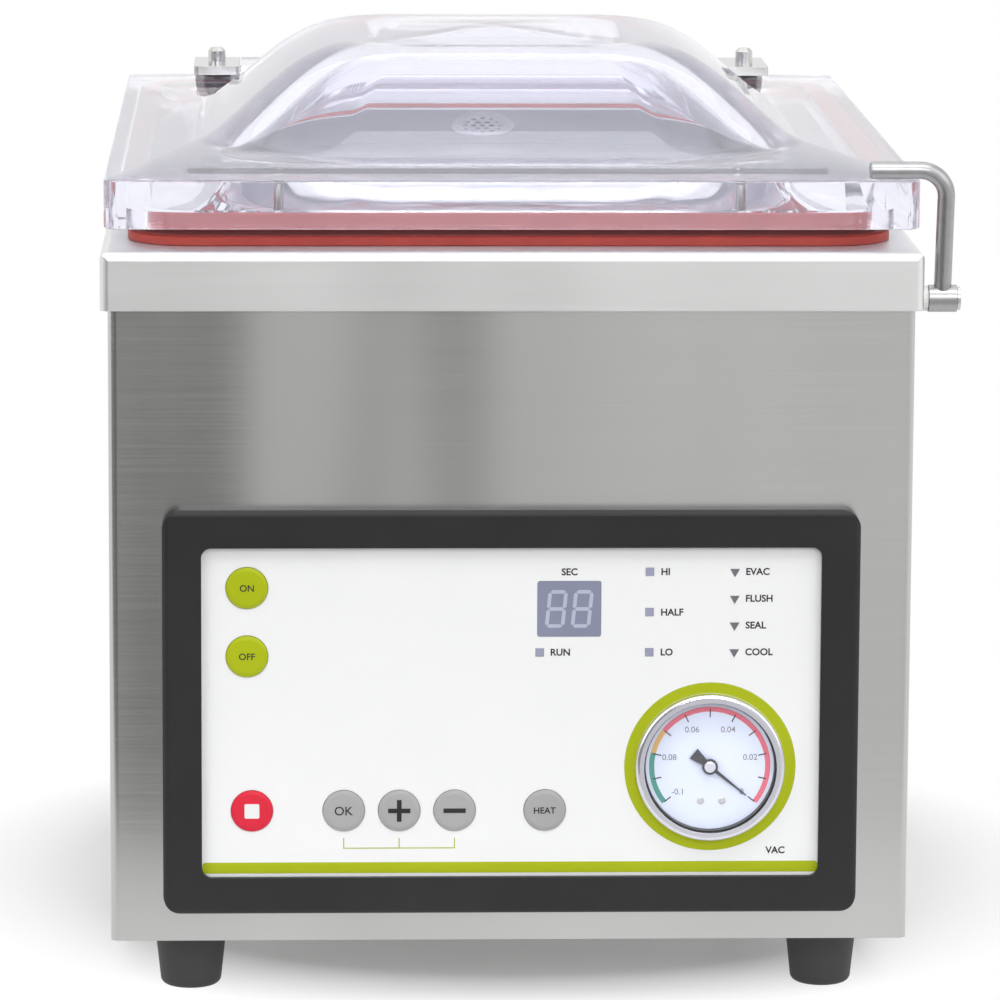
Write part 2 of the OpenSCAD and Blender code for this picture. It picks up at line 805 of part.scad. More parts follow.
// Level ring of the gasket, drawn in by some on every side
module gasket_ring(h, drawn) {
    inner = gasket_w - drawn;
    linear_extrude(h) difference() {
        rounded(gasket_ow - 2 * drawn, gasket_od - 2 * drawn, gasket_r - drawn);
        rounded(gasket_ow - 2 * inner, gasket_od - 2 * inner, gasket_r - inner);
    }
}

// Seal with a root in the lid's groove, a drawn-in neck and a wider lip on the deck
module lid_gasket() {
    color(orange_red) translate([0, lid_y, deck_z + seat]) {
        gasket_ring(gasket_lip, run_fit);
        gasket_ring(lid_gap, gasket_neck);
        translate([0, 0, lid_gap - gasket_root - seat])
            gasket_ring(gasket_root + groove_h - seat, run_fit);
    }
}

module counter_spots() {
    for (x = [-1, 1]) translate([x * counter_gap / 2, seal_y, 0]) children();
}

module counter_bar() {
    w = seal_w + 2;
    color(alloy) difference() {
        translate([-counter_l / 2, seal_y - w / 2, lid_low - counter_h]) cube([counter_l, w, counter_h]);
        counter_spots() translate([0, 0, lid_low - counter_h - eps]) {
            cylinder(d = counter_head + fit, h = counter_sunk + eps);
            cylinder(d = screw_d + fit, h = counter_h + 2 * eps);
        }
    }
}

module counter_pad() {
    w = strip_w + 4;
    color([0.75, 0.73, 0.7]) translate([-seal_len / 2, seal_y - w / 2, pad_z]) cube([seal_len, w, pad_h]);
}

module counter_screws() {
    color(bright) counter_spots() translate([0, 0, lid_low - counter_h]) {
        cylinder(d = counter_head, h = counter_sunk);
        cylinder(d = screw_d, h = counter_h + lid_t * 0.6);
    }
}

// Hinge

module hinge_shaft() {
    color(bright) translate([-shaft_l / 2, hinge_y, hinge_z]) rod_along_x(shaft_d, shaft_l);
}

module stand_spots() {
    x = stand_x - stand_toe / 2;
    for (y = [-1, 1]) translate([x, hinge_y + y * stand_hole, 0]) children();
}

// Foot on the deck with an upright eye for the shaft
module hinge_stand() {
    difference() {
        union() {
            translate([stand_x - stand_toe, hinge_y - stand_d / 2, deck_z])
                cube([stand_w + stand_toe, stand_d, stand_foot]);
            translate([stand_x, hinge_y, hinge_z]) rod_along_x(knuckle_d, stand_w);
            translate([stand_x, hinge_y - knuckle_d / 2, deck_z])
                cube([stand_w, knuckle_d, hinge_z - deck_z]);
        }
        translate([stand_x - eps, hinge_y, hinge_z])
            rod_along_x(shaft_d + 2 * run_fit, stand_w + 2 * eps);
        translate([0, 0, deck_z - eps])
            stand_spots() cylinder(d = screw_d + fit, h = stand_foot + 2 * eps);
    }
}

module hinge_stand_right() color(alloy) hinge_stand();

module hinge_stand_left() color(alloy) mirror([1, 0, 0]) hinge_stand();

module stand_screws() {
    shank = stand_foot + 2 * sheet + 5;
    color(bright) both_sides() translate([0, 0, deck_z + stand_foot]) stand_spots() {
        cylinder(d = screw_d + 3, h = screw_d * 0.8);
        translate([0, 0, -shank]) cylinder(d = screw_d, h = shank + eps);
    }
}

// Strap over the lid's back edge that ends in a knuckle round the shaft
module hinge_arm() {
    difference() {
        union() {
            translate([arm_x, (lid_end - arm_lap + hinge_y) / 2, arm_low])
                slab(arm_w, hinge_y - lid_end + arm_lap, arm_t, 2);
            translate([arm_x - arm_w / 2, hinge_y, hinge_z]) rod_along_x(knuckle_d, arm_w);
        }
        translate([arm_x - arm_w / 2 - eps, hinge_y, hinge_z])
            rod_along_x(shaft_d + 2 * run_fit, arm_w + 2 * eps);
        translate([arm_x, bolt_y, arm_low - eps]) cylinder(d = bolt_d + fit, h = arm_t + 2 * eps);
    }
}

module hinge_arm_right() color(bright) hinge_arm();

module hinge_arm_left() color(bright) mirror([1, 0, 0]) hinge_arm();

module lid_washers() {
    color(black_rubber) both_sides() translate([arm_x, bolt_y, lid_top]) difference() {
        cylinder(d = washer_d, h = washer_t);
        translate([0, 0, -eps]) cylinder(d = bolt_d + fit, h = washer_t + 2 * eps);
    }
}

module lid_bolts() {
    head_d = bolt_d + 2;
    head_h = 7.6;
    crown = 1.5;
    shank = arm_low + arm_t - lid_low + bolt_nut + eps;
    color(bright) both_sides() translate([arm_x, bolt_y, arm_low + arm_t]) {
        cylinder(d = head_d, h = head_h - crown);
        translate([0, 0, head_h - crown]) cylinder(d1 = head_d, d2 = head_d - 2 * crown, h = crown);
        translate([0, 0, -shank]) cylinder(d = bolt_d, h = shank + eps);
    }
}

module lid_nuts() {
    color(bright) both_sides() translate([arm_x, bolt_y, lid_low - bolt_nut]) difference() {
        cylinder(d = bolt_d + 5.5, h = bolt_nut, $fn = 6);
        translate([0, 0, -eps]) cylinder(d = bolt_d + 2 * run_fit, h = bolt_nut + 2 * eps);
    }
}

// One lid spring's middle line: a leg under the lid, the curls round the shaft and a leg on the deck
ring_n = 8;
turn_a = front_lean - 90;
turn_b = 360 * curls - 90 - back_lean;
curl_steps = round((turn_b - turn_a) / 360 * ring_n);
function on_coil(a) = [
    -(a - turn_a) / 360 * coil_pitch, coil_r * cos(a), coil_r * sin(a)
];
function along(a) = [0, -sin(a), cos(a)];
spring_line = concat(
    [on_coil(turn_a) - front_leg * along(turn_a)],
    [for (i = [0:curl_steps]) on_coil(turn_a + (turn_b - turn_a) * i / curl_steps)],
    [on_coil(turn_b) + rear_leg * along(turn_b)]
);

// Round tube along a line of points, with six sides
tube_n = 6;
function way(line, i) =
    let (a = line[max(0, i - 1)], b = line[min(len(line) - 1, i + 1)]) (b - a) / norm(b - a);
module tube(line, d) {
    m = len(line);
    points = [
        for (i = [0:m - 1])
            let (t = way(line, i), s = cross(t, [1, 0, 0]), u = s / norm(s), v = cross(t, u))
            for (k = [0:tube_n - 1])
                line[i] + d / 2 * (cos(360 * k / tube_n) * u + sin(360 * k / tube_n) * v)
    ];
    walls = [
        for (i = [0:m - 2], k = [0:tube_n - 1])
            let (a = i * tube_n + k, b = i * tube_n + (k + 1) % tube_n)
            each [[a, a + tube_n, b + tube_n], [a, b + tube_n, b]]
    ];
    head = [for (k = [1:tube_n - 2]) [0, k, k + 1]];
    end = (m - 1) * tube_n;
    tail = [for (k = [1:tube_n - 2]) [end, end + k + 1, end + k]];
    polyhedron(points, concat(walls, head, tail));
}

spring_gap = min([
    for (i = [0:len(spring_line) - 1], j = [0:len(spring_line) - 1])
        if (j > i + ring_n / 2) norm(spring_line[i] - spring_line[j])
]) - wire_d;
echo(spring_gap = spring_gap);

module lid_springs() {
    color(steel) both_sides() translate([spring_x - wire_d / 2, hinge_y, hinge_z])
        tube(spring_line, wire_d);
}

// Latch

module latch_hook() {
    color(bright) translate([0, latch_y, latch_z]) rotate([hook_lean, 0, 0]) difference() {
        union() {
            translate([eye_x, 0, 0]) rod_along_x(eye_d, eye_w);
            translate([rod_x, 0, 0]) cylinder(d = rod_d, h = hook_arm - rod_bend);
            translate([rod_x - rod_bend, 0, hook_arm - rod_bend]) rotate([90, 0, 0])
                rotate_extrude(angle = 90) translate([rod_bend, 0]) circle(d = rod_d);
            translate([rod_x - hook_leg + rod_edge, 0, hook_arm])
                rod_along_x(rod_d, hook_leg - rod_edge - rod_bend);
            translate([rod_x - hook_leg, 0, hook_arm]) rotate([0, 90, 0])
                cylinder(d1 = rod_d - 2 * rod_edge, d2 = rod_d, h = rod_edge);
        }
        translate([eye_x - eps, 0, 0]) rod_along_x(pin_d + 2 * run_fit, eye_w + 2 * eps);
    }
}

module latch_pin() {
    nut_t = 4;
    nut_x = cab_w / 2 - sheet - nut_t;
    end = 2;
    head_x = eye_x + eye_w + fit;
    color(bright) translate([0, latch_y, latch_z]) {
        translate([nut_x - end, 0, 0]) rod_along_x(pin_d, head_x - nut_x + end);
        translate([head_x, 0, 0]) rod_along_x(eye_d - 1.5, pin_head);
        translate([nut_x, 0, 0]) rotate([0, 90, 0]) rotate(30) cylinder(d = pin_d + 5, h = nut_t, $fn = 6);
    }
}

module latch_spacer() {
    color(paper_white) translate([deck_w / 2, latch_y, latch_z]) difference() {
        rod_along_x(eye_d - 1, spacer_t);
        translate([-eps, 0, 0]) rod_along_x(pin_d + 2 * run_fit, spacer_t + 2 * eps);
    }
}

// Control panel

module panel_bezel() {
    color(charcoal) on_panel() difference() {
        soft_box(bezel_w, bezel_h, bezel_t, bezel_r, 2.5);
        translate([0, 0, -eps]) slab(pocket_w, pocket_h, face_z + eps, window_r);
        slab(window_w, window_h, bezel_t + eps, window_r);
    }
}

module panel_overlay() {
    through = overlay_t + 2 * eps;
    color(paper_white) on_panel() translate([0, 0, overlay_low]) difference() {
        slab(pocket_w - 2 * fit, pocket_h - 2 * fit, overlay_t, window_r - fit);
        translate([0, 0, -eps]) {
            for (k = key_spots) translate(k) cylinder(d = key_d + 2 * fit, h = through);
            translate([display_x, display_z]) slab(display_w + fit, display_h + fit, through, 1);
            for (k = square_lamps) translate(k) lamp(through, fit);
            for (k = arrow_lamps) translate(k) arrow(through, fit);
            translate([gauge_x, gauge_z]) cylinder(d = case_d + 2 * fit, h = through);
        }
    }
}

module lamp(h, more) translate([0, 0, h / 2]) cube([lamp_s + more, lamp_s + more, h], center = true);

// Lamp that points down like an arrow
module arrow(h, more) rotate(-90) cylinder(d = lamp_s * 1.3 + 2 * more, h = h, $fn = 3);

// Button with a slightly domed face, held behind the overlay by its flange
module key(i) {
    cap = 0.5;
    on_panel(key_spots[i][0], key_spots[i][1]) {
        translate([0, 0, flange_low]) cylinder(d = key_d + 1.6, h = flange_t);
        translate([0, 0, flange_low]) cylinder(d = key_d, h = face_z + key_rise - cap - flange_low);
        translate([0, 0, face_z + key_rise - cap]) cylinder(d1 = key_d, d2 = key_d - 3, h = cap);
    }
}

module key_start() color(key_green) key(0);

module key_halt() color(key_green) key(1);

module key_stop() color(key_red) key(2);

module key_set() color(key_grey) key(3);

module key_plus() color(key_grey) key(4);

module key_minus() color(key_grey) key(5);

module key_temp() color(key_grey) key(6);

module display_window() {
    color([0.5, 0.52, 0.6]) on_panel(display_x, display_z) translate([0, 0, overlay_low])
        slab(display_w, display_h, overlay_t, 0.9);
}

module level_lamps() {
    color([0.66, 0.68, 0.78]) on_panel()
        for (k = square_lamps) translate([k[0], k[1], overlay_low]) lamp(overlay_t, 0);
}

module stage_lamps() {
    color([0.45, 0.45, 0.47]) on_panel()
        for (k = arrow_lamps) translate([k[0], k[1], overlay_low]) arrow(overlay_t, 0);
}

// Circuit board on four pillars, with a switch under each key and a block under each lamp
module control_board() {
    border = 14;
    switch_s = 6;
    chip_s = 2;
    lift = overlay_low - seat - board_top;
    color([0.1, 0.35, 0.2]) on_panel() difference() {
        translate([0, 0, board_top]) {
            translate([0, 0, -board_t]) slab(opening_w + border, opening_h + border, board_t, 3);
            four(opening_w + border / 2, opening_h + border / 2)
                cylinder(d = border / 2 - 1, h = -sheet - board_top);
            for (k = key_spots) on_board(k, switch_s, switch_s, switch_top - board_top);
            on_board([display_x, display_z], display_w - 2, display_h - 2, lift);
            for (k = concat(square_lamps, arrow_lamps)) on_board(k, chip_s, chip_s, lift);
        }
        translate([gauge_x, gauge_z, board_top - board_t - eps])
            cylinder(d = case_d + 3, h = board_t + 2 * eps);
    }
}

// Block on the circuit board, rooted a little way into it
module on_board(spot, w, d, h) {
    translate([spot[0] - w / 2, spot[1] - d / 2, -eps]) cube([w, d, h + eps]);
}

// Gauge

module gauge_case() {
    color(charcoal) on_panel(gauge_x, gauge_z) difference() {
        union() {
            translate([0, 0, -gauge_depth]) cylinder(d = case_d, h = gauge_depth + glass_z);
            translate([0, 0, -gauge_depth - stem_l]) cylinder(d = thin_hose_d, h = stem_l + 1);
            translate([0, 0, -gauge_depth - 5]) cylinder(d = thin_hose_d + 7, h = 6, $fn = 6);
        }
        translate([0, 0, dial_z]) difference() {
            cylinder(d = case_d - 2 * case_wall, h = ring_t + 5);
            translate([0, 0, -eps]) cylinder(d = spindle_d, h = needle_z - dial_z + 1.4 + eps);
        }
    }
}

module gauge_dial() {
    color(paper_white) on_panel(gauge_x, gauge_z) translate([0, 0, dial_z]) difference() {
        cylinder(d = case_d - 2 * case_wall - 2 * fit, h = dial_t);
        translate([0, 0, -eps]) cylinder(d = spindle_d + 1, h = dial_t + 2 * eps);
    }
}

// Tapered pointer with a round hub and a wedge-shaped tail
module gauge_needle() {
    hub = 3.2;
    hub_h = 1.2;
    blade_t = 0.5;
    tail = 8.5;
    half = [2.6, 0.8, 0.25];
    color(black_rubber) on_panel(gauge_x, gauge_z) translate([0, 0, needle_z]) rotate(-needle_rest)
        difference() {
            union() {
                linear_extrude(blade_t) polygon([
                    [-half[0], -tail], [half[0], -tail], [half[1], 0],
                    [half[2], needle_len], [-half[2], needle_len], [-half[1], 0]
                ]);
                cylinder(r = hub, h = hub_h);
            }
            translate([0, 0, -eps]) cylinder(d = spindle_d + 2 * run_fit, h = hub_h + 2 * eps);
        }
}

module gauge_glass() {
    color([0.9, 0.95, 1, 0.3]) on_panel(gauge_x, gauge_z) translate([0, 0, glass_z])
        cylinder(d = case_d - fit, h = glass_t);
}

// Bright ring that holds the glass, with a rounded front lip
module gauge_ring() {
    round = 1.6;
    inner = case_d / 2 + run_fit;
    color(bright) on_panel(gauge_x, gauge_z) translate([0, 0, face_z]) rotate_extrude() difference() {
        union() {
            translate([ring_d / 2 - ring_lip, 0]) square([ring_lip, ring_t - round]);
            translate([ring_d / 2 - ring_lip, 0]) square([ring_lip - round, ring_t]);
            translate([ring_d / 2 - round, ring_t - round]) circle(round);
        }
        translate([0, -eps]) square([inner, glass_z + glass_t - face_z + eps]);
    }
}

module gauge_hose() {
    start = gauge_depth + stem_l;
    rise_z = panel_z + gauge_z + thin_bend;
    color(black_rubber) {
        on_panel(gauge_x, gauge_z) translate([0, 0, -start - thin_run])
            cylinder(d = thin_hose_d, h = thin_run);
        translate([gauge_x, nipple_y - thin_bend, rise_z]) rotate([90, 0, 90])
            rotate_extrude(angle = 90, start = 270) translate([thin_bend, 0]) circle(d = thin_hose_d);
        translate([gauge_x, nipple_y, rise_z]) cylinder(d = thin_hose_d, h = tub_low - nipple_l - rise_z);
    }
}

// Back wall

// Mains socket: a flange outside the panel and a hollow body with three blades
module power_inlet() {
    hollow_w = inlet_bw - 3.4;
    hollow_h = inlet_bh - 3.9;
    hollow_deep = 16;
    cut = 4;
    blade_w = 2;
    blade_h = 4;
    blade_l = 12;
    color(charcoal) on_back(inlet_x, inlet_z) {
        difference() {
            union() {
                translate([0, 0, sheet]) slab(inlet_bw + 6, inlet_bh + 6, flange_out, 3);
                translate([0, 0, sheet - inlet_deep]) slab(inlet_bw, inlet_bh, inlet_deep + eps, 1);
            }
            translate([0, 0, sheet + flange_out - hollow_deep]) linear_extrude(hollow_deep + eps) polygon([
                [-hollow_w / 2, hollow_h / 2],
                [-hollow_w / 2, cut - hollow_h / 2],
                [cut - hollow_w / 2, -hollow_h / 2],
                [hollow_w / 2 - cut, -hollow_h / 2],
                [hollow_w / 2, cut - hollow_h / 2],
                [hollow_w / 2, hollow_h / 2]
            ]);
        }
        for (blade = [[-7, -2.5], [0, -4.5], [7, -2.5]])
            translate([blade[0], blade[1], sheet + flange_out - hollow_deep - eps])
                slab(blade_w, blade_h, blade_l, blade_w / 4);
    }
}

module fuse_holder() {
    color(charcoal) on_back(fuse_x, inlet_z) {
        translate([0, 0, sheet]) cylinder(d = fuse_d + 5, h = flange_out);
        translate([0, 0, sheet - fuse_deep]) cylinder(d = fuse_d, h = fuse_deep + eps);
        translate([0, 0, sheet]) cylinder(d = fuse_d - 1, h = fuse_out);
    }
}

// Pump and drive

// Rotary vane pump: a ribbed block on two rails, with its suction flange at the back
module pump_block() {
    rib = 4;
    ribs = 6;
    rail = 8;
    rail_w = 18;
    rail_in = 22;
    rib_in = 10;
    rib_up = 30;
    rib_step = (pump_w - 2 * rib_in - rib) / (ribs - 1);
    sight_d = 26;
    pipe_wall = 6;
    bore_l = drive_in + 2;
    color([0.45, 0.47, 0.5]) difference() {
        union() {
            translate([pump_x + pump_w / 2, pump_y, base_top + rail])
                soft_box(pump_w, pump_d - 2 * rib, pump_h - rail, rail, rail);
            for (y = [-1, 1])
                translate([pump_x + pump_w / 2, pump_y + y * (pump_d / 2 - rail_in), base_top])
                    slab(pump_w - rail, rail_w, rail + eps, 1);
            for (i = [0:ribs - 1])
                translate([pump_x + rib_in + i * rib_step, pump_y - pump_d / 2, base_top + rib_up])
                    cube([rib, rib + eps, pump_h - 2 * rib_up]);
            translate([pipe_x, pump_y + pump_d / 2 - rib - eps, pipe_z]) rotate([-90, 0, 0])
                cylinder(d = hose_d + 2 * pipe_wall, h = rib + eps);
        }
        translate([motor_x - bore_l, pump_y, motor_z]) rod_along_x(drive_d + 2 * run_fit, bore_l + eps);
        translate([pump_x - eps, pump_y, base_top + pipe_down]) rod_along_x(sight_d, rib);
    }
}

// Motor: a finned can that carries the shaft, with a fan space at its free end
module motor_housing() {
    fins = 20;
    fin_h = 6;
    fin_t = 2;
    flange = 10;
    hood = 4;
    foot_w = 60;
    foot_in = 20;
    core_d = motor_d - 2 * fin_h;
    foot_l = motor_l - fan_h - hood - foot_in;
    color([0.35, 0.38, 0.42]) translate([motor_x, pump_y, motor_z]) difference() {
        union() {
            rod_along_x(core_d, motor_l);
            rod_along_x(motor_d, flange);
            translate([motor_l - fan_h - hood, 0, 0]) rod_along_x(motor_d, fan_h + hood);
            for (i = [0:fins - 1])
                rotate([360 * i / fins, 0, 0]) translate([0, -fin_t / 2, core_d / 2 - 1])
                    cube([motor_l - fan_h, fin_t, fin_h]);
            translate([foot_in, -foot_w / 2, base_top - motor_z])
                cube([foot_l, foot_w, motor_z - base_top - core_d / 2 + fin_h]);
        }
        translate([-eps, 0, 0]) rod_along_x(drive_d + 2 * run_fit, motor_l + 2 * eps);
        translate([motor_l - fan_h, 0, 0]) rod_along_x(motor_d - 2 * hood, fan_h + eps);
    }
}

// Shaft with a fan of straight blades
module motor_rotor() {
    blades = 8;
    blade_t = 2;
    hub_wall = 8;
    hub_r = drive_d / 2 + hub_wall;
    fan_r = motor_d / 2 - 4 - fan_clear;
    fan_l = fan_h - 2 * fan_clear;
    color(alloy) translate([motor_x, pump_y, motor_z]) {
        translate([-drive_in, 0, 0]) rod_along_x(drive_d, motor_l + drive_in - fan_clear);
        translate([motor_l - fan_clear - fan_l, 0, 0]) {
            rod_along_x(2 * hub_r, fan_l);
            rod_along_x(2 * fan_r, blade_t);
            for (i = [0:blades - 1])
                rotate([360 * (i + 0.5) / blades, 0, 0])
                    translate([blade_t / 2, -blade_t / 2, hub_r - 4])
                        cube([fan_l - blade_t, blade_t, fan_r - hub_r + 2]);
        }
    }
}

module fan_grille() {
    holes = 12;
    thick = 2;
    color(charcoal) translate([motor_x + motor_l, pump_y, motor_z]) difference() {
        rod_along_x(motor_d, thick);
        for (ring = [1, 2], i = [0:holes - 1])
            rotate([360 * (i + ring / 2) / holes, 0, 0])
                translate([-eps, 0, motor_d * (0.05 + ring / 7)])
                    rod_along_x(motor_d * (0.04 + ring / 60), thick + 2 * eps);
    }
}

// Oil mist filter lying on the pump, with its neck
module mist_filter() {
    lift = 6;
    end_in = 6;
    cap = 10;
    axis_z = base_top + pump_h + lift + filter_d / 2;
    color(black_rubber) {
        translate([pump_x + end_in, pump_y, axis_z]) rod_along_x(filter_d, pump_w - 2 * end_in - cap / 2);
        translate([pump_x + pump_w - end_in - cap, pump_y, axis_z]) rod_along_x(filter_d + 5, cap);
        translate([pump_x + pump_w / 2, pump_y, base_top + pump_h])
            cylinder(d = filter_d / 2, h = lift + filter_d / 4);
    }
}

// Valve block on a post, with a round coil on each side
module vacuum_valve() {
    color(alloy) {
        translate([0, drop_y, valve_top - valve_h]) slab(valve_s, valve_s, valve_h, 4);
        translate([0, drop_y, base_top])
            cylinder(d = valve_s / 2, h = valve_top - valve_h - base_top + eps);
        translate([0, drop_y, base_top]) cylinder(d = valve_s, h = stand_foot);
        translate([valve_s / 2 - eps, drop_y, pipe_z]) rod_along_x(coil_d, coil_l);
    }
}

// Two lengths: chamber down to the valve, and valve across to the pump
module vacuum_hose() {
    low_bend = 28;
    pump_face = pump_y + pump_d / 2;
    color(black_rubber) {
        translate([0, drop_y - hose_bend, port_z - hose_bend]) rotate([90, 0, 90])
            rotate_extrude(angle = 90) translate([hose_bend, 0]) circle(d = hose_d);
        translate([0, drop_y, valve_top]) cylinder(d = hose_d, h = port_z - hose_bend - valve_top);
        translate([pipe_x + low_bend, drop_y, pipe_z])
            rod_along_x(hose_d, -valve_s / 2 - pipe_x - low_bend);
        translate([pipe_x + low_bend, drop_y - low_bend, pipe_z])
            rotate_extrude(angle = 90, start = 90) translate([low_bend, 0]) circle(d = hose_d);
        translate([pipe_x, pump_face, pipe_z]) rotate([-90, 0, 0])
            cylinder(d = hose_d, h = drop_y - low_bend - pump_face);
    }
}

// Laminated core with its winding
module transformer() {
    core_end = 12;
    winding_out = 14;
    lug_w = 16;
    lug_out = 6;
    lug_t = 3;
    color([0.5, 0.42, 0.36]) translate([trafo_in - cab_w / 2, front + trafo_back, base_top]) {
        slab(trafo_w, trafo_d, trafo_h, 1);
        translate([0, 0, core_end])
            slab(trafo_w - 2 * lug_w, trafo_d + 2 * winding_out, trafo_h - 2 * core_end, lug_out);
        for (x = [-1, 1]) translate([x * trafo_w / 2, 0, 0]) slab(lug_w, trafo_d + 2 * lug_out, lug_t, 1);
    }
}

// Every piece in the machine's frame
translate([mid_x, mid_y, 0]) {
    outer_shell();
    rear_panel();
    base_plate();
    rubber_feet();
    foot_screws();
    panel_screws();
    top_deck();
    chamber_tub();
    port_cover();
    seal_cups();
    seal_bar();
    seal_strip();
    seal_tape();
    lid();
    lid_gasket();
    counter_bar();
    counter_pad();
    counter_screws();
    hinge_shaft();
    hinge_stand_left();
    hinge_stand_right();
    stand_screws();
    hinge_arm_left();
    hinge_arm_right();
    lid_washers();
    lid_bolts();
    lid_nuts();
    lid_springs();
    latch_hook();
    latch_pin();
    latch_spacer();
    panel_bezel();
    panel_overlay();
    key_start();
    key_halt();
    key_stop();
    key_set();
    key_plus();
    key_minus();
    key_temp();
    display_window();
    level_lamps();
    stage_lamps();
    control_board();
    gauge_case();
    gauge_dial();
    gauge_needle();
    gauge_glass();
    gauge_ring();
    gauge_hose();
    power_inlet();
    fuse_holder();
    pump_block();
    motor_housing();
    motor_rotor();
    fan_grille();
    mist_filter();
    vacuum_valve();
    vacuum_hose();
    transformer();
}
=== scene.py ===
import bpy
import json
import math
from mathutils import Matrix, Vector

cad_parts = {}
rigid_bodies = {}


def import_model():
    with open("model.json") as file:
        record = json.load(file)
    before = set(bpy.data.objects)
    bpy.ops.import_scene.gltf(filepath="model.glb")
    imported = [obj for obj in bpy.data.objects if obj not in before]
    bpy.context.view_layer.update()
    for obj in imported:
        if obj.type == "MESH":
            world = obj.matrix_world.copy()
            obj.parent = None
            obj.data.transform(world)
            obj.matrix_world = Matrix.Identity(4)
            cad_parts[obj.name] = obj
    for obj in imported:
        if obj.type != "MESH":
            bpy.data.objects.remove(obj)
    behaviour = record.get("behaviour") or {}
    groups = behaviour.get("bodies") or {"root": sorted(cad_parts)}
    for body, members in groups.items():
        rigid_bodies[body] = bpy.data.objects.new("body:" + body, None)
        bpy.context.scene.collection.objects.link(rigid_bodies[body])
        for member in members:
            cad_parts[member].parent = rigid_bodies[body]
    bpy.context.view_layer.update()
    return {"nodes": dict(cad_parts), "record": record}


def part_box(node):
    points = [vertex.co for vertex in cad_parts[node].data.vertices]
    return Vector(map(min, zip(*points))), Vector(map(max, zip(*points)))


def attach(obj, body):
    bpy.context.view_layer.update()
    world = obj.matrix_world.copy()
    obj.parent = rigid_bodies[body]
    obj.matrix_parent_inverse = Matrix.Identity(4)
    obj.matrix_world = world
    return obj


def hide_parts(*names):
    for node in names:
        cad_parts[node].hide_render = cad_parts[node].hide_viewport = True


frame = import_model()
mm = 0.001
print("frame loaded:", len(frame["nodes"]), "nodes")


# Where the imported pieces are

def middle(node):
    low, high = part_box(node)
    return (low + high) / 2


def extent(node):
    low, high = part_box(node)
    return high - low


def frontOf(node):
    spot = middle(node)
    return spot.x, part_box(node)[0].y, spot.z


# Shader values that can be added and multiplied as they stand

class Flow:
    def __init__(self, tree, socket=None):
        self.tree = tree
        self.socket = socket

    def add(self, kind, settings=None, inputs=None, out=0):
        node = self.tree.nodes.new(kind)
        for name, value in (settings or {}).items():
            if name == "stops":
                while len(node.color_ramp.elements) < len(value):
                    node.color_ramp.elements.new(0.5)
                for stop, (place, colour) in zip(node.color_ramp.elements, value):
                    stop.position = place
                    stop.color = colour
            else:
                setattr(node, name, value)
        for name, value in (inputs or {}).items():
            if isinstance(value, Flow):
                self.tree.links.new(value.socket, node.inputs[name])
            else:
                node.inputs[name].default_value = value
        return Flow(self.tree, node.outputs[out]) if len(node.outputs) else node

    def sums(self, operation, first, second):
        return self.add("ShaderNodeMath", {"operation": operation}, {0: first, 1: second})

    def __add__(self, other):
        return self.sums("ADD", self, other)

    __radd__ = __add__

    def __mul__(self, other):
        return self.sums("MULTIPLY", self, other)

    __rmul__ = __mul__

    def __sub__(self, other):
        return self.sums("SUBTRACT", self, other)

    def __rsub__(self, other):
        return self.sums("SUBTRACT", other, self)


def ownPlace(flow):
    return flow.add("ShaderNodeTexCoord", out="Object")


def noise(flow, scale, stretch=(1, 1, 1), detail=3.0):
    place = flow.add("ShaderNodeMapping", None, {"Vector": ownPlace(flow), "Scale": stretch})
    return flow.add("ShaderNodeTexNoise", None, {"Vector": place, "Scale": scale, "Detail": detail})


def ramp(flow, value, stops):
    grey = [(place, (v, v, v, 1)) for place, v in stops]
    return flow.add("ShaderNodeValToRGB", {"stops": grey}, {"Fac": value})


# either colour may be written out or come from another node
def tint(flow, factor, first, second):
    first, second = (end if isinstance(end, Flow) else (*end, 1) for end in (first, second))
    return flow.add("ShaderNodeMix", {"data_type": "RGBA"}, {0: factor, 6: first, 7: second}, out=2)


def bump(flow, height, strength, depth, normal=None):
    inputs = {"Height": height, "Strength": strength, "Distance": depth}
    if normal:
        inputs["Normal"] = normal
    return flow.add("ShaderNodeBump", None, inputs)


def softEdge(flow, radius):
    return flow.add("ShaderNodeBevel", {"samples": 4}, {"Radius": radius})


def newFinish(name):
    material = bpy.data.materials.new(name)
    material.use_nodes = True
    material.node_tree.nodes.clear()
    return material, Flow(material.node_tree)


def closeFinish(material, flow, inputs):
    shader = flow.add("ShaderNodeBsdfPrincipled", None, inputs)
    flow.add("ShaderNodeOutputMaterial", None, {"Surface": shader})
    return material


# Finishes

gritDepth = 0.1 * mm  # height of the fine grain on most finishes
patchScale = 35.0  # cloudy change of colour over moulded pieces
sheetSteel = {
    "lineShare": 0.2, "cloudShare": 0.8, "lineDetail": 4.0, "lineDepth": 0.05 * mm, "turn": 0.25,
    "cloudStretch": (1, 1, 0.35), "cloudDetail": 2.0, "waveStretch": (1, 1, 0.12), "waveDetail": 1.0,
    "speckScale": 900.0, "speckDetail": 1.0, "speckStops": ((0.70, 0.0), (0.78, 1.0)), "speckRough": 0.06,
}


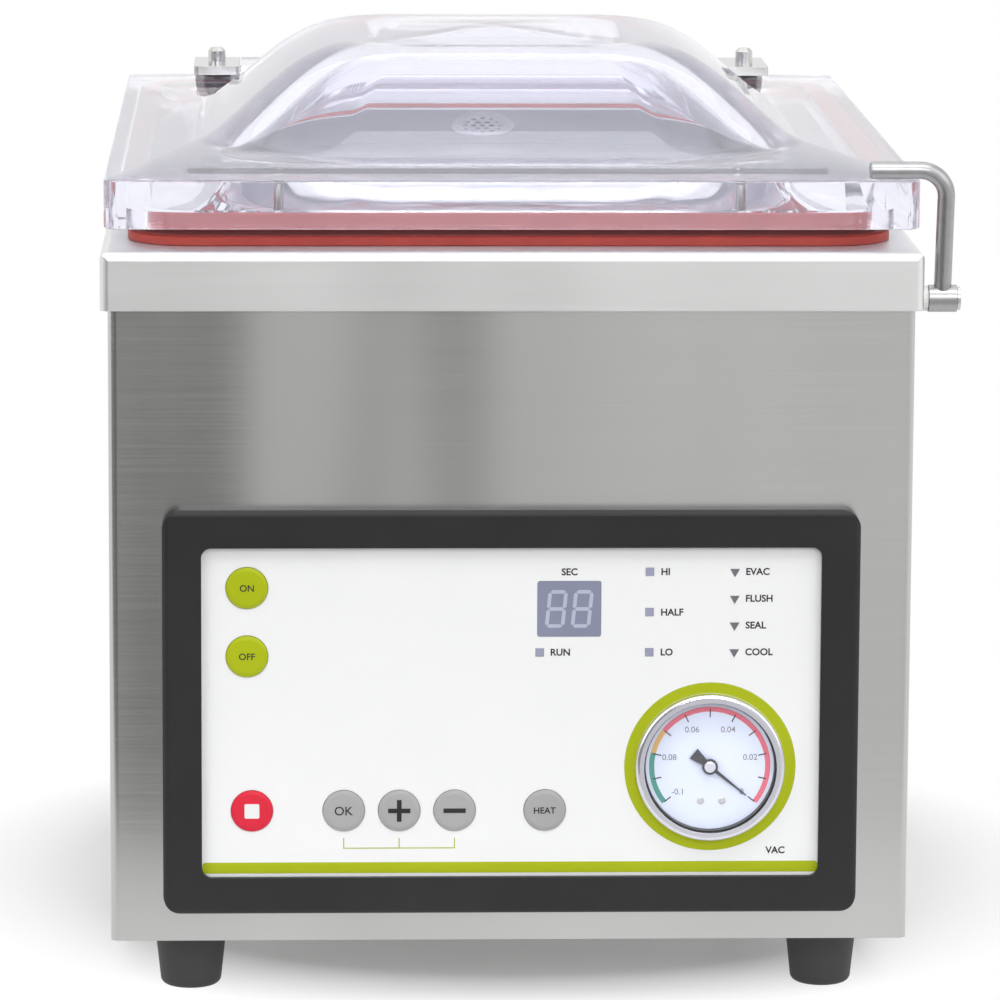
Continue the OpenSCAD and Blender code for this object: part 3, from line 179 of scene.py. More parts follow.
# fine drawn lines over a sheet that is slightly bent and clouded
def brushedSteel(name, look):
    material, flow = newFinish(name)
    lines = noise(flow, 1.0, look["grain"], sheetSteel["lineDetail"])
    cloud = noise(flow, look["cloudScale"], sheetSteel["cloudStretch"], sheetSteel["cloudDetail"])
    dust = noise(flow, sheetSteel["speckScale"], detail=sheetSteel["speckDetail"])
    specks = ramp(flow, dust, sheetSteel["speckStops"])
    shade = lines * sheetSteel["lineShare"] + cloud * sheetSteel["cloudShare"]
    sheet = noise(flow, look["waveScale"], sheetSteel["waveStretch"], sheetSteel["waveDetail"])
    bent = bump(flow, sheet, 1.0, look["wave"], softEdge(flow, look["edge"]))
    return closeFinish(material, flow, {
        "Base Color": tint(flow, shade, look["dark"], look["light"]),
        "Metallic": 1.0,
        "Roughness": lines * look["roughSpread"] + specks * sheetSteel["speckRough"] + look["rough"],
        "Anisotropic": look["stretch"],
        "Anisotropic Rotation": sheetSteel["turn"],
        "Normal": bump(flow, lines, look["bump"], sheetSteel["lineDepth"], bent),
    })


def plainMetal(name, look):
    material, flow = newFinish(name)
    wear = noise(flow, look["scale"], look.get("grain", (1, 1, 1)), detail=5.0)
    edge = softEdge(flow, look.get("edge", 0.2 * mm))
    return closeFinish(material, flow, {
        "Base Color": tint(flow, wear, look["dark"], look["light"]),
        "Metallic": look.get("metal", 1.0),
        "Roughness": wear * look["roughSpread"] + look["rough"],
        "Normal": bump(flow, wear, look["bump"], gritDepth, edge),
    })


def mouldedPlastic(name, look):
    material, flow = newFinish(name)
    grit = noise(flow, look["scale"], detail=2.0)
    patch = noise(flow, patchScale, detail=2.0)
    edge = softEdge(flow, look.get("edge", 0.25 * mm))
    return closeFinish(material, flow, {
        "Base Color": tint(flow, patch, look["dark"], look["light"]),
        "Roughness": patch * look["roughSpread"] + look["rough"],
        "Specular IOR Level": look.get("shine", 0.5),
        "Normal": bump(flow, grit, look["bump"], gritDepth, edge),
    })


# rubber with painted shade: the drawn-in neck between its lip and the lid is darkened in the colour
def sealRubber(name, look):
    material, flow = newFinish(name)
    patch = noise(flow, look["patchScale"], detail=3.0)
    grit = noise(flow, look["scale"], detail=2.0)
    height = flow.add("ShaderNodeSeparateXYZ", None, {0: ownPlace(flow)}, out="Z")
    level = (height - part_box("lid_gasket")[0].z) * (1 / look["span"])
    low, high, soft = look["neckShadeLow"] / look["span"], look["neckShadeHigh"] / look["span"], look["soft"]
    # painted shade over the recessed neck: a band of the seal's height
    neck = ramp(flow, level, [(low - soft, 0.0), (low + soft, 1.0), (high - soft, 1.0), (high + soft, 0.0)])
    rubber = tint(flow, patch, look["dark"], look["light"])
    return closeFinish(material, flow, {
        # the deep colour is painted shade laid over the neck
        "Base Color": tint(flow, neck, rubber, look["deep"]),
        "Roughness": patch * look["roughSpread"] + look["rough"],
        "Specular IOR Level": look["shine"],
        "Normal": bump(flow, grit, look["bump"], gritDepth),
    })


hazeStops = ((0.45, 0.0), (0.75, 1.0))


# light from the lamps goes straight through, and what is seen through it is bent
def clearPlastic(name, look):
    material, flow = newFinish(name)
    haze = ramp(flow, noise(flow, look["scale"], detail=4.0), hazeStops)
    glass = flow.add("ShaderNodeBsdfPrincipled", None, {
        "Base Color": (*look["colour"], 1),
        "Roughness": haze * look["haze"],
        "IOR": look["ior"],
        "Transmission Weight": look["clear"],
    })
    lamps = flow.add("ShaderNodeBsdfTransparent", None, {"Color": (*look["colour"], 1)})
    path = flow.add("ShaderNodeLightPath", out="Is Shadow Ray")
    both = flow.add("ShaderNodeMixShader", None, {0: path, 1: glass, 2: lamps})
    flow.add("ShaderNodeOutputMaterial", None, {"Surface": both})
    return material


finishes = {
    "brushed_steel": brushedSteel("cabinetSteel", {
        "grain": (14, 14, 1500), "cloudScale": 9.0, "dark": (0.47, 0.47, 0.46), "light": (0.63, 0.63, 0.62),
        "rough": 0.14, "roughSpread": 0.07, "stretch": 0.85, "bump": 0.04, "edge": 0.3 * mm,
        "waveScale": 10.0, "wave": 2.2 * mm}),
    "deck_steel": brushedSteel("deckSteel", {
        "grain": (14, 700, 700), "cloudScale": 7.0, "dark": (0.71, 0.71, 0.705), "light": (0.81, 0.81, 0.805),
        "rough": 0.36, "roughSpread": 0.10, "stretch": 0.3, "bump": 0.08, "edge": 0.5 * mm,
        "waveScale": 9.0, "wave": 3.5 * mm}),
    "bright_steel": plainMetal("satinSteel", {
        "scale": 300.0, "dark": (0.55, 0.55, 0.55), "light": (0.72, 0.72, 0.71),
        "rough": 0.16, "roughSpread": 0.14, "bump": 0.05}),
    "hook_steel": plainMetal("hookRod", {
        "scale": 300.0, "dark": (0.36, 0.36, 0.37), "light": (0.48, 0.48, 0.49),
        "rough": 0.30, "roughSpread": 0.12, "bump": 0.02}),
    # a darker copy of the satin steel: painted shade for the tub inside the closed chamber
    "tub_steel": plainMetal("tubSteel", {
        "scale": 40.0, "grain": (1, 1, 4), "dark": (0.27, 0.275, 0.285), "light": (0.36, 0.365, 0.375),
        "rough": 0.26, "roughSpread": 0.14, "bump": 0.05}),
    "spring_steel": plainMetal("springWire", {
        "scale": 400.0, "dark": (0.28, 0.28, 0.30), "light": (0.45, 0.45, 0.46),
        "rough": 0.25, "roughSpread": 0.15, "bump": 0.05}),
    "alloy": plainMetal("machinedAlloy", {
        "scale": 500.0, "dark": (0.60, 0.60, 0.62), "light": (0.74, 0.74, 0.75),
        "rough": 0.30, "roughSpread": 0.12, "bump": 0.08}),
    "bar_alloy": plainMetal("blastedAlloy", {
        "scale": 500.0, "dark": (0.46, 0.46, 0.49), "light": (0.56, 0.56, 0.59),
        "metal": 0.3, "rough": 0.50, "roughSpread": 0.12, "bump": 0.10}),
    "heating_alloy": plainMetal("heatingStrip", {
        "scale": 200.0, "grain": (1, 8, 1), "dark": (0.36, 0.31, 0.27), "light": (0.55, 0.50, 0.45),
        "rough": 0.28, "roughSpread": 0.15, "bump": 0.03}),
    "brown_tape": mouldedPlastic("wovenTape", {
        "scale": 1600.0, "dark": (0.42, 0.27, 0.14), "light": (0.56, 0.39, 0.22),
        "rough": 0.50, "roughSpread": 0.15, "bump": 0.4}),
    "clear_acrylic": clearPlastic("clearLid", {
        "scale": 14.0, "colour": (0.915, 0.918, 1.0), "haze": 0.03, "ior": 1.49, "clear": 0.93}),
    # the seal's deep colour is painted shade for its recessed neck
    "red_rubber": sealRubber("sealRubber", {
        "scale": 900.0, "patchScale": 60.0, "dark": (0.26, 0.030, 0.022), "light": (0.36, 0.050, 0.034),
        "deep": (0.10, 0.010, 0.008), "rough": 0.42, "roughSpread": 0.15, "bump": 0.10, "shine": 0.3,
        "neckShadeLow": 4.0 * mm, "neckShadeHigh": 8.3 * mm, "span": 10 * mm, "soft": 0.05}),
    "grey_silicone": mouldedPlastic("greySilicone", {
        "scale": 900.0, "dark": (0.46, 0.45, 0.43), "light": (0.56, 0.55, 0.52),
        "rough": 0.50, "roughSpread": 0.15, "bump": 0.10}),
    "black_rubber": mouldedPlastic("blackRubber", {
        "scale": 1200.0, "dark": (0.034, 0.034, 0.036), "light": (0.066, 0.066, 0.068),
        "rough": 0.55, "roughSpread": 0.20, "bump": 0.25}),
    "white_nylon": mouldedPlastic("whiteNylon", {
        "scale": 800.0, "dark": (0.78, 0.78, 0.76), "light": (0.86, 0.86, 0.84),
        "rough": 0.40, "roughSpread": 0.10, "bump": 0.05}),
    "charcoal_plastic": mouldedPlastic("frameCharcoal", {
        "scale": 1400.0, "dark": (0.017, 0.017, 0.018), "light": (0.025, 0.025, 0.026),
        "rough": 0.36, "roughSpread": 0.12, "bump": 0.22, "edge": 0.6 * mm, "shine": 0.3}),
    "black_plastic": mouldedPlastic("mouldedBlack", {
        "scale": 1000.0, "dark": (0.014, 0.014, 0.015), "light": (0.026, 0.026, 0.027),
        "rough": 0.42, "roughSpread": 0.15, "bump": 0.18}),
    "white_overlay": mouldedPlastic("overlayFilm", {
        "scale": 2200.0, "dark": (0.90, 0.905, 0.91), "light": (0.935, 0.935, 0.94),
        "rough": 0.34, "roughSpread": 0.06, "bump": 0.04, "shine": 0.3}),
    "green_key": mouldedPlastic("greenKey", {
        "scale": 2000.0, "dark": (0.40, 0.47, 0.008), "light": (0.47, 0.54, 0.012),
        "rough": 0.36, "roughSpread": 0.08, "bump": 0.05, "shine": 0.2}),
    "red_key": mouldedPlastic("redKey", {
        "scale": 2000.0, "dark": (0.70, 0.022, 0.050), "light": (0.80, 0.032, 0.065),
        "rough": 0.36, "roughSpread": 0.08, "bump": 0.05, "shine": 0.2}),
    "grey_key": mouldedPlastic("greyKey", {
        "scale": 2000.0, "dark": (0.39, 0.39, 0.39), "light": (0.45, 0.45, 0.45),
        "rough": 0.36, "roughSpread": 0.08, "bump": 0.05, "shine": 0.2}),
    "display_plastic": mouldedPlastic("displayWindow", {
        "scale": 1500.0, "dark": (0.23, 0.25, 0.36), "light": (0.28, 0.30, 0.41),
        "rough": 0.22, "roughSpread": 0.06, "bump": 0.02}),
    "square_lamp": mouldedPlastic("squareLamp", {
        "scale": 1500.0, "dark": (0.31, 0.32, 0.45), "light": (0.39, 0.40, 0.53),
        "rough": 0.25, "roughSpread": 0.06, "bump": 0.02}),
    "arrow_lamp": mouldedPlastic("arrowLamp", {
        "scale": 1500.0, "dark": (0.14, 0.14, 0.16), "light": (0.19, 0.19, 0.21),
        "rough": 0.25, "roughSpread": 0.06, "bump": 0.02}),
    "circuit_board": mouldedPlastic("circuitBoard", {
        "scale": 500.0, "dark": (0.010, 0.090, 0.035), "light": (0.018, 0.150, 0.055),
        "rough": 0.35, "roughSpread": 0.15, "bump": 0.15}),
    "gauge_steel": plainMetal("gaugeCase", {
        "scale": 300.0, "dark": (0.03, 0.03, 0.03), "light": (0.06, 0.06, 0.06),
        "metal": 0.0, "rough": 0.40, "roughSpread": 0.15, "bump": 0.10}),
    "dial_white": mouldedPlastic("dialEnamel", {
        "scale": 1800.0, "dark": (0.67, 0.72, 0.88), "light": (0.73, 0.78, 0.92),
        "rough": 0.35, "roughSpread": 0.06, "bump": 0.02}),
    "needle_black": plainMetal("needleLacquer", {
        "scale": 600.0, "dark": (0.020, 0.020, 0.026), "light": (0.040, 0.040, 0.048),
        "metal": 0.0, "rough": 0.35, "roughSpread": 0.10, "bump": 0.02, "edge": 0.05 * mm}),
    "clear_glass": clearPlastic("gaugeGlass", {
        "scale": 40.0, "colour": (0.985, 0.988, 1.0), "haze": 0.004, "ior": 1.46, "clear": 1.0}),
    "chrome_ring": plainMetal("chromeRing", {
        "scale": 120.0, "dark": (0.74, 0.74, 0.82), "light": (0.84, 0.84, 0.92),
        "rough": 0.20, "roughSpread": 0.06, "bump": 0.01}),
    "pump_iron": plainMetal("pumpCasting", {
        "scale": 260.0, "dark": (0.11, 0.12, 0.135), "light": (0.20, 0.21, 0.23),
        "metal": 0.0, "rough": 0.45, "roughSpread": 0.2, "bump": 0.5, "edge": 0.6 * mm}),
    "winding_iron": plainMetal("windingVarnish", {
        "scale": 350.0, "grain": (1, 1, 6), "dark": (0.16, 0.10, 0.06), "light": (0.30, 0.21, 0.14),
        "metal": 0.3, "rough": 0.40, "roughSpread": 0.2, "bump": 0.3}),
}
print("finishes made:", len(finishes))


def dress(thing, finish):
    thing.data.materials.clear()
    thing.data.materials.append(finish)


# nodes that look unlike the rest of their slot; the chamber tub's darker steel is painted shade
ownFinish = {
    "top_deck": "deck_steel", "chamber_tub": "tub_steel",
    "latch_hook": "hook_steel", "counter_bar": "bar_alloy",
}
for part in frame["record"]["subparts"]:
    node = part["node"]
    dress(frame["nodes"][node], finishes[ownFinish.get(node, part["material_slot"])])
print("packed pieces dressed")


# Modelling helpers: a piece is drawn from rings or flat prints, then settled on its body

weld = 0.001 * mm
ringStack = 0.1  # level rings would be bridged crosswise, so they stand in a stack until then
ringSmooth = math.radians(32)


def startPiece(name):
    bpy.ops.object.select_all(action="DESELECT")
    bpy.ops.mesh.primitive_plane_add(size=1)
    piece = bpy.context.object
    piece.name = name
    piece.data.name = name
    bpy.ops.object.mode_set(mode="EDIT")
    bpy.ops.mesh.delete(type="VERT")
    return piece


def settle(piece, body, finish, replaced=None):
    dress(piece, finish)
    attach(piece, body)
    if replaced:
        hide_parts(replaced)


def addRing(width, depth, radius, place, cuts):
    bpy.ops.mesh.primitive_plane_add(size=1, location=place)
    bpy.ops.transform.resize(value=(width, depth, 1), center_override=place)
    bpy.ops.mesh.bevel(offset=radius, segments=cuts, affect="VERTICES")
    bpy.ops.mesh.select_linked()
    bpy.ops.object.vertex_group_assign_new()
    bpy.ops.mesh.delete(type="ONLY_FACE")


def pickRings(piece, *numbers):
    bpy.ops.mesh.select_all(action="DESELECT")
    for number in numbers:
        piece.vertex_groups.active_index = number
        bpy.ops.object.vertex_group_select()


# skin over rounded rings, one after the other, either closed round or capped at both ends
def skinRings(piece, rings, cuts, closed):
    for number, (width, depth, radius, place) in enumerate(rings):
        addRing(width, depth, radius, (place[0], place[1], number * ringStack), cuts)
    last = len(rings) - 1
    for number in range(last):
        pickRings(piece, number, number + 1)
        bpy.ops.mesh.bridge_edge_loops()
    for number, ring in enumerate(rings):
        height = ring[3][2]
        pickRings(piece, number)
        bpy.ops.transform.translate(value=(0, 0, height - number * ringStack))
    if closed:
        bpy.ops.mesh.select_all(action="SELECT")
        bpy.ops.mesh.remove_doubles(threshold=weld)
    else:
        for number in (0, last):
            pickRings(piece, number)
            bpy.ops.mesh.edge_face_add()
    bpy.ops.mesh.select_all(action="SELECT")
    bpy.ops.mesh.normals_make_consistent(inside=False)
    bpy.ops.object.mode_set(mode="OBJECT")
    bpy.ops.object.vertex_group_remove(all=True)
    bpy.ops.object.shade_smooth_by_angle(angle=ringSmooth)


# Lid: one blown sheet with its dome, hollow and gasket groove

lidShape = {
    "domeSide": 34.5 * mm, "domeFront": 83 * mm, "domeEnd": 47 * mm, "rise": 39 * mm, "crown": 3 * mm,
    "run": 68 * mm, "bulge": 0.75, "footRadius": 56 * mm, "footWall": 9 * mm, "wall": 11 * mm,
    "corner": 6 * mm, "edge": 1.0 * mm,
    "grooveWide": 10 * mm, "grooveDeep": 6 * mm, "grooveRadius": 26 * mm,
    "sideSteps": 30, "crownShares": (0.85, 0.7, 0.55, 0.4, 0.25, 0.1, 0.03), "edgeSteps": 3, "cornerCuts": 32,
}
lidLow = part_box("lid")[0].z
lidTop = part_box("lid_washers")[0].z
lidMid = middle("lid")
lidSize = extent("lid")
gasketSize = extent("lid_gasket")


# a side that starts and ends level, then a low crown, with corners that tighten at half the sides' pace
def domeRings(width, depth, radius, low, rise, place):
    rings = []
    for step in range(lidShape["sideSteps"] + 1):
        way = step / lidShape["sideSteps"]
        inset = lidShape["run"] * way
        height = rise * math.sin(math.radians(90 * way ** lidShape["bulge"])) ** 2
        rings.append((width - 2 * inset, depth - 2 * inset, radius - inset / 2, (*place, low + height)))
    width, depth, radius = rings[-1][:3]
    for share in lidShape["crownShares"]:
        height = rise + lidShape["crown"] * (1 - share ** 2) ** 2
        rings.append((width * share, depth * share, radius * share, (*place, low + height)))
    return rings


# level crown rings meet in creases at their corners, so the crown is drawn over as one swell
def swellCrown(piece, rings):
    wide, deep, _, (across, along, base) = rings[lidShape["sideSteps"]]
    crown = lidShape["crown"]
    for point in piece.data.vertices:
        u = 2 * (point.co.x - across) / wide
        v = 2 * (point.co.y - along) / deep
        if max(abs(u), abs(v)) < 1 and -weld < point.co.z - base < crown + weld:
            point.co.z = base + crown * ((1 - u * u) * (1 - v * v)) ** 2


def grooveRing(inset, height):
    wide = gasketSize.x - 2 * inset
    deep = gasketSize.y - 2 * inset
    return wide, deep, lidShape["grooveRadius"] - inset, (lidMid.x, lidMid.y, height)


# the plate's edge, rounded at its lower and its upper side
def edgeRings():
    rings = []
    for level, side in ((lidLow, 1), (lidTop, -1)):
        for step in range(lidShape["edgeSteps"] + 1):
            angle = math.radians(90 * step / lidShape["edgeSteps"])
            inset = lidShape["edge"] * (1 - math.sin(angle))
            drop = lidShape["edge"] * (1 - math.cos(angle))
            if side < 0:
                inset, drop = drop, inset
            rings.append((
                lidSize.x - 2 * inset, lidSize.y - 2 * inset, lidShape["corner"] - inset,
                (lidMid.x, lidMid.y, level + side * drop)))
    return rings


def makeLid():
    piece = startPiece("clear_lid")
    wide = lidSize.x - 2 * lidShape["domeSide"]
    deep = lidSize.y - lidShape["domeFront"] - lidShape["domeEnd"]
    place = (lidMid.x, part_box("lid")[0].y + lidShape["domeFront"] + deep / 2)
    thin = lidShape["footWall"]
    inner = domeRings(
        wide - 2 * thin, deep - 2 * thin, lidShape["footRadius"] - thin,
        lidLow, lidTop - lidLow + lidShape["rise"] - lidShape["wall"], place)
    outer = domeRings(wide, deep, lidShape["footRadius"], lidTop, lidShape["rise"], place)
    grooveTop = lidLow + lidShape["grooveDeep"]
    groove = [grooveRing(inset, height) for inset, height in (
        (lidShape["grooveWide"], lidLow), (lidShape["grooveWide"], grooveTop), (0, grooveTop), (0, lidLow))]
    skinRings(piece, inner[::-1] + groove + edgeRings() + outer, lidShape["cornerCuts"], closed=False)
    swellCrown(piece, inner)
    swellCrown(piece, outer)
    settle(piece, "lid", finishes["clear_acrylic"], "lid")


# Gasket: a root in the lid's groove, a drawn-in neck and a wider lip on the deck

gasketShape = {
    "wide": 9.9 * mm, "lip": 3.6 * mm, "root": 0.4 * mm, "neck": 3.2 * mm,
    "radius": 26 * mm, "cornerCuts": 16,
    "round": 0.8 * mm, "cut": 0.24 * mm, "fillet": 0.4 * mm, "filletRise": 0.08 * mm,
    "slack": 0.2 * mm,  # the groove's walls stay clear of the rubber
}


def makeGasket():
    piece = startPiece("lid_seal")
    low, high = (corner.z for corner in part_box("lid_gasket"))
    lip, root = low + gasketShape["lip"], lidLow - gasketShape["root"]
    soft, cut, neck = gasketShape["round"], gasketShape["cut"], gasketShape["neck"]
    fillet, rise = gasketShape["fillet"], gasketShape["filletRise"]
    half = [
        (soft, low), (cut, low + cut), (0, low + soft), (0, lip - soft), (cut, lip - cut), (soft, lip),
        (neck - fillet, lip + rise), (neck, lip + soft), (neck, root - soft), (neck - fillet, root - rise),
        (soft, root), (cut, root + cut), (0, root + soft), (0, high - soft), (soft, high),
    ]
    half = [(max(inset, gasketShape["slack"]), height) for inset, height in half]
    outline = half + [(gasketShape["wide"] - inset, height) for inset, height in half[::-1]]
    rings = [
        (gasketSize.x - 2 * inset, gasketSize.y - 2 * inset, gasketShape["radius"] - inset,
         (lidMid.x, lidMid.y, height)) for inset, height in outline]
    skinRings(piece, rings + rings[:1], gasketShape["cornerCuts"], closed=True)
    settle(piece, "lid", finishes["red_rubber"], "lid_gasket")


makeLid()
makeGasket()
print("lid and seal modelled")


# Lid springs: round wire wound about the shaft, a leg under the lid and a leg on the deck

springShape = {
    "wire": 2.6 * mm, "radius": 9.2 * mm, "gap": 0.8 * mm, "curls": 6, "perCurl": 24, "wireCuts": 4,
    "legBack": 26 * mm, "legLap": 5 * mm, "clear": 0.25 * mm, "smooth": 50,
}


def springLine():
    axle = middle("hinge_shaft")
    wire, radius = springShape["wire"], springShape["radius"]
    reach = axle.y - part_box("lid")[1].y
    lidDrop = axle.z - lidLow + wire / 2 + springShape["clear"]
    deckDrop = axle.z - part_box("hinge_stand_left")[0].z - wire / 2 - springShape["clear"]
    frontWay, backWay = math.hypot(lidDrop, reach), math.hypot(deckDrop, springShape["legBack"])
    frontLean = math.atan2(lidDrop, reach) - math.asin(radius / frontWay)
    backLean = math.atan2(deckDrop, springShape["legBack"]) - math.asin(radius / backWay)
    first = frontLean - math.pi / 2
    last = 2 * math.pi * springShape["curls"] - math.pi / 2 - backLean
    pitch = wire + springShape["gap"]

    def curl(angle):
        along = (angle - first) / (2 * math.pi) * pitch
        return Vector((-along, radius * math.cos(angle), radius * math.sin(angle)))

    steps = round((last - first) / (2 * math.pi) * springShape["perCurl"])
    line = [curl(first + (last - first) * step / steps) for step in range(steps + 1)]
    frontLeg = math.sqrt(frontWay ** 2 - radius ** 2) + springShape["legLap"]
    backLeg = math.sqrt(backWay ** 2 - radius ** 2)
    head = line[0] - frontLeg * Vector((0, -math.sin(first), math.cos(first)))
    tail = line[-1] + backLeg * Vector((0, -math.sin(last), math.cos(last)))
    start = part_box("lid_springs")[1].x - wire / 2 - axle.x
    return axle, [point + Vector((start, 0, 0)) for point in (head, *line, tail)]


def makeSprings():
    axle, line = springLine()
    bpy.ops.object.select_all(action="DESELECT")
    bpy.ops.curve.primitive_nurbs_path_add()
    piece = bpy.context.object
    piece.name = "wound_springs"
    path = piece.data
    path.splines.clear()
    path.dimensions = "3D"
    for side in (1, -1):
        spline = path.splines.new("POLY")
        spline.points.add(len(line) - 1)
        for point, spot in zip(spline.points, line):
            point.co = (axle.x + side * spot.x, axle.y + spot.y, axle.z + spot.z, 1)
    path.bevel_depth = springShape["wire"] / 2
    path.bevel_resolution = springShape["wireCuts"]
    path.use_fill_caps = True
    bpy.ops.object.convert(target="MESH")
    bpy.ops.object.mode_set(mode="EDIT")
    bpy.ops.mesh.select_all(action="SELECT")
    bpy.ops.mesh.remove_doubles(threshold=weld)
    bpy.ops.mesh.normals_make_consistent(inside=False)
    bpy.ops.object.mode_set(mode="OBJECT")
    bpy.ops.object.shade_smooth_by_angle(angle=math.radians(springShape["smooth"]))
    settle(piece, "cabinet", finishes["spring_steel"], "lid_springs")


makeSprings()
print("springs wound")


# Prints on the panel and the dial: drawn flat, across and up, then stood against their face

printLift = 0.05 * mm  # how far ink stands out of its face
printSunk = 0.02 * mm  # how deep in that face it starts
inkLook = {"scale": 2500.0, "rough": 0.45, "roughSpread": 0.10, "bump": 0.02, "edge": 0.02 * mm, "shine": 0.2}


def printInk(name, dark, light, **changes):
    return mouldedPlastic(name, {**inkLook, "dark": dark, "light": light, **changes})


inks = {
    "dark": printInk("darkInk", (0.020, 0.020, 0.022), (0.040, 0.040, 0.043)),
    "white": printInk("whiteInk", (0.84, 0.84, 0.85), (0.90, 0.90, 0.90)),
    "green": printInk("greenInk", (0.40, 0.47, 0.008), (0.47, 0.54, 0.012)),
    "grey": printInk("greyInk", (0.19, 0.19, 0.22), (0.25, 0.25, 0.29)),
    "pink": printInk("pinkInk", (0.74, 0.13, 0.19), (0.80, 0.17, 0.23)),
    "tan": printInk("tanInk", (0.68, 0.40, 0.12), (0.74, 0.46, 0.16)),
    "teal": printInk("tealInk", (0.05, 0.28, 0.22), (0.08, 0.34, 0.27)),
    "pale": printInk(
        "paleSegment", (0.46, 0.48, 0.60), (0.54, 0.56, 0.68), rough=0.30, roughSpread=0.06, shine=0.5),
}


def flatBar(across, up, wide, high, turn=0.0, corner=0.0, cuts=1):
    bpy.ops.mesh.primitive_plane_add(size=1, location=(across, up, 0))
    bpy.ops.transform.resize(value=(wide, high, 1), center_override=(across, up, 0))
    if corner:
        bpy.ops.mesh.bevel(offset=corner, segments=cuts, affect="VERTICES")
        bpy.ops.mesh.select_linked()
    if turn:
        bpy.ops.transform.rotate(value=-math.radians(turn), orient_axis="Z", center_override=(0, 0, 0))


# ring piece between two angles, counted from the right and turning left
def flatArc(radius, wide, start, end, steps):
    middleLine = (radius - wide / 2, 0, 0)
    bpy.ops.mesh.primitive_plane_add(size=wide, location=middleLine)
    bpy.ops.transform.resize(value=(1, 0, 1), center_override=middleLine)
    bpy.ops.mesh.remove_doubles(threshold=weld)
    bpy.ops.transform.rotate(value=-math.radians(start), orient_axis="Z", center_override=(0, 0, 0))
    bpy.ops.mesh.spin(steps=steps, angle=-math.radians(end - start), center=(0, 0, 0), axis=(0, 0, 1))
    bpy.ops.mesh.select_linked()
    bpy.ops.mesh.remove_doubles(threshold=weld)


def standPrint(piece, at, lean=0.0):
    bpy.ops.mesh.select_all(action="SELECT")
    bpy.ops.mesh.extrude_region_move(TRANSFORM_OT_translate={"value": (0, 0, printLift + printSunk)})
    bpy.ops.mesh.select_all(action="SELECT")
    bpy.ops.mesh.normals_make_consistent(inside=False)
    bpy.ops.object.mode_set(mode="OBJECT")
    for point in piece.data.vertices:
        point.co.x += lean * point.co.y
    piece.rotation_euler = (math.radians(90), 0, 0)
    piece.location = (at[0], at[1] + printSunk, at[2])
    bpy.ops.object.transform_apply(location=True, rotation=True, scale=True)


def inked(piece, ink, body="cabinet"):
    settle(piece, body, inks[ink])


letterShape = {"capShare": 0.69, "curveCuts": 4}  # share of the letters' size that a capital fills


# words with their middle, or their left end, at a place on a face
def lettering(name, words, cap, bold, at, ink, body="cabinet", side="CENTER"):
    bpy.ops.object.select_all(action="DESELECT")
    bpy.ops.object.text_add(rotation=(math.radians(90), 0, 0))
    piece = bpy.context.object
    piece.name = name
    halfThick = (printLift + printSunk) / 2
    text = piece.data
    text.body = words
    text.size = cap / letterShape["capShare"]
    text.offset = bold
    text.extrude = halfThick
    text.resolution_u = letterShape["curveCuts"]
    text.align_x = side
    bpy.ops.object.convert(target="MESH")
    spots = [point.co for point in piece.data.vertices]
    wide = [min(s.x for s in spots), max(s.x for s in spots)]
    high = [min(s.y for s in spots), max(s.y for s in spots)]
    start = wide[0] if side == "LEFT" else sum(wide) / 2
    piece.location = (at[0] - start, at[1] + printSunk - halfThick, at[2] - sum(high) / 2)
    bpy.ops.object.transform_apply(location=True, rotation=True, scale=True)
    inked(piece, ink, body)


panelPrint = {
    "bandWide": 249.4 * mm, "bandHigh": 4.5 * mm, "bandUp": -64.2 * mm, "bandCorner": 1.2 * mm, "bandCuts": 4,
    "ringWide": 4.4 * mm, "ringGap": 0.1 * mm, "ringSteps": 96,
    "bracketDrop": 15.6 * mm, "bracketRise": 4.0 * mm, "line": 0.42 * mm,
}
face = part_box("panel_overlay")[0].y
windowMid = middle("panel_bezel")


def makePanelPrints():
    piece = startPiece("green_band")
    flatBar(
        0, 0, panelPrint["bandWide"], panelPrint["bandHigh"],
        corner=panelPrint["bandCorner"], cuts=panelPrint["bandCuts"])
    standPrint(piece, (windowMid.x, face, windowMid.z + panelPrint["bandUp"]))
    inked(piece, "green")

    ring = extent("gauge_ring").x / 2 + panelPrint["ringGap"]
    gauge = middle("gauge_ring")
    piece = startPiece("gauge_halo")
    flatArc(ring + panelPrint["ringWide"], panelPrint["ringWide"], 0, 360, panelPrint["ringSteps"])
    standPrint(piece, (gauge.x, face, gauge.z))
    inked(piece, "green")

    first, last = middle("key_set").x, middle("key_minus").x
    half, line, rise = (last - first) / 2, panelPrint["line"], panelPrint["bracketRise"]
    piece = startPiece("key_bracket")
    flatBar(0, 0, 2 * half + line, line)
    for across in (-half, middle("key_plus").x - (first + last) / 2, half):
        flatBar(across, (rise + line) / 2, line, rise)
    standPrint(piece, ((first + last) / 2, face, middle("key_set").z - panelPrint["bracketDrop"]))
    inked(piece, "green")


# each key's body, word, height of its capitals and boldness
keyWords = {
    "key_start": ("start_button", "ON", 2.6 * mm, 0.05 * mm),
    "key_halt": ("halt_button", "OFF", 2.6 * mm, 0.05 * mm),
    "key_set": ("set_button", "OK", 3.5 * mm, 0.04 * mm),
    "key_temp": ("temp_button", "HEAT", 2.5 * mm, 0.06 * mm),
}
keySigns = {"long": 9.0 * mm, "thick": 1.9 * mm, "square": 6.0 * mm, "corner": 0.6 * mm, "cornerCuts": 3}


def makeKeyWords():
    for key, (body, words, cap, bold) in keyWords.items():
        lettering(key.replace("key", "word"), words, cap, bold, frontOf(key), "dark", body)


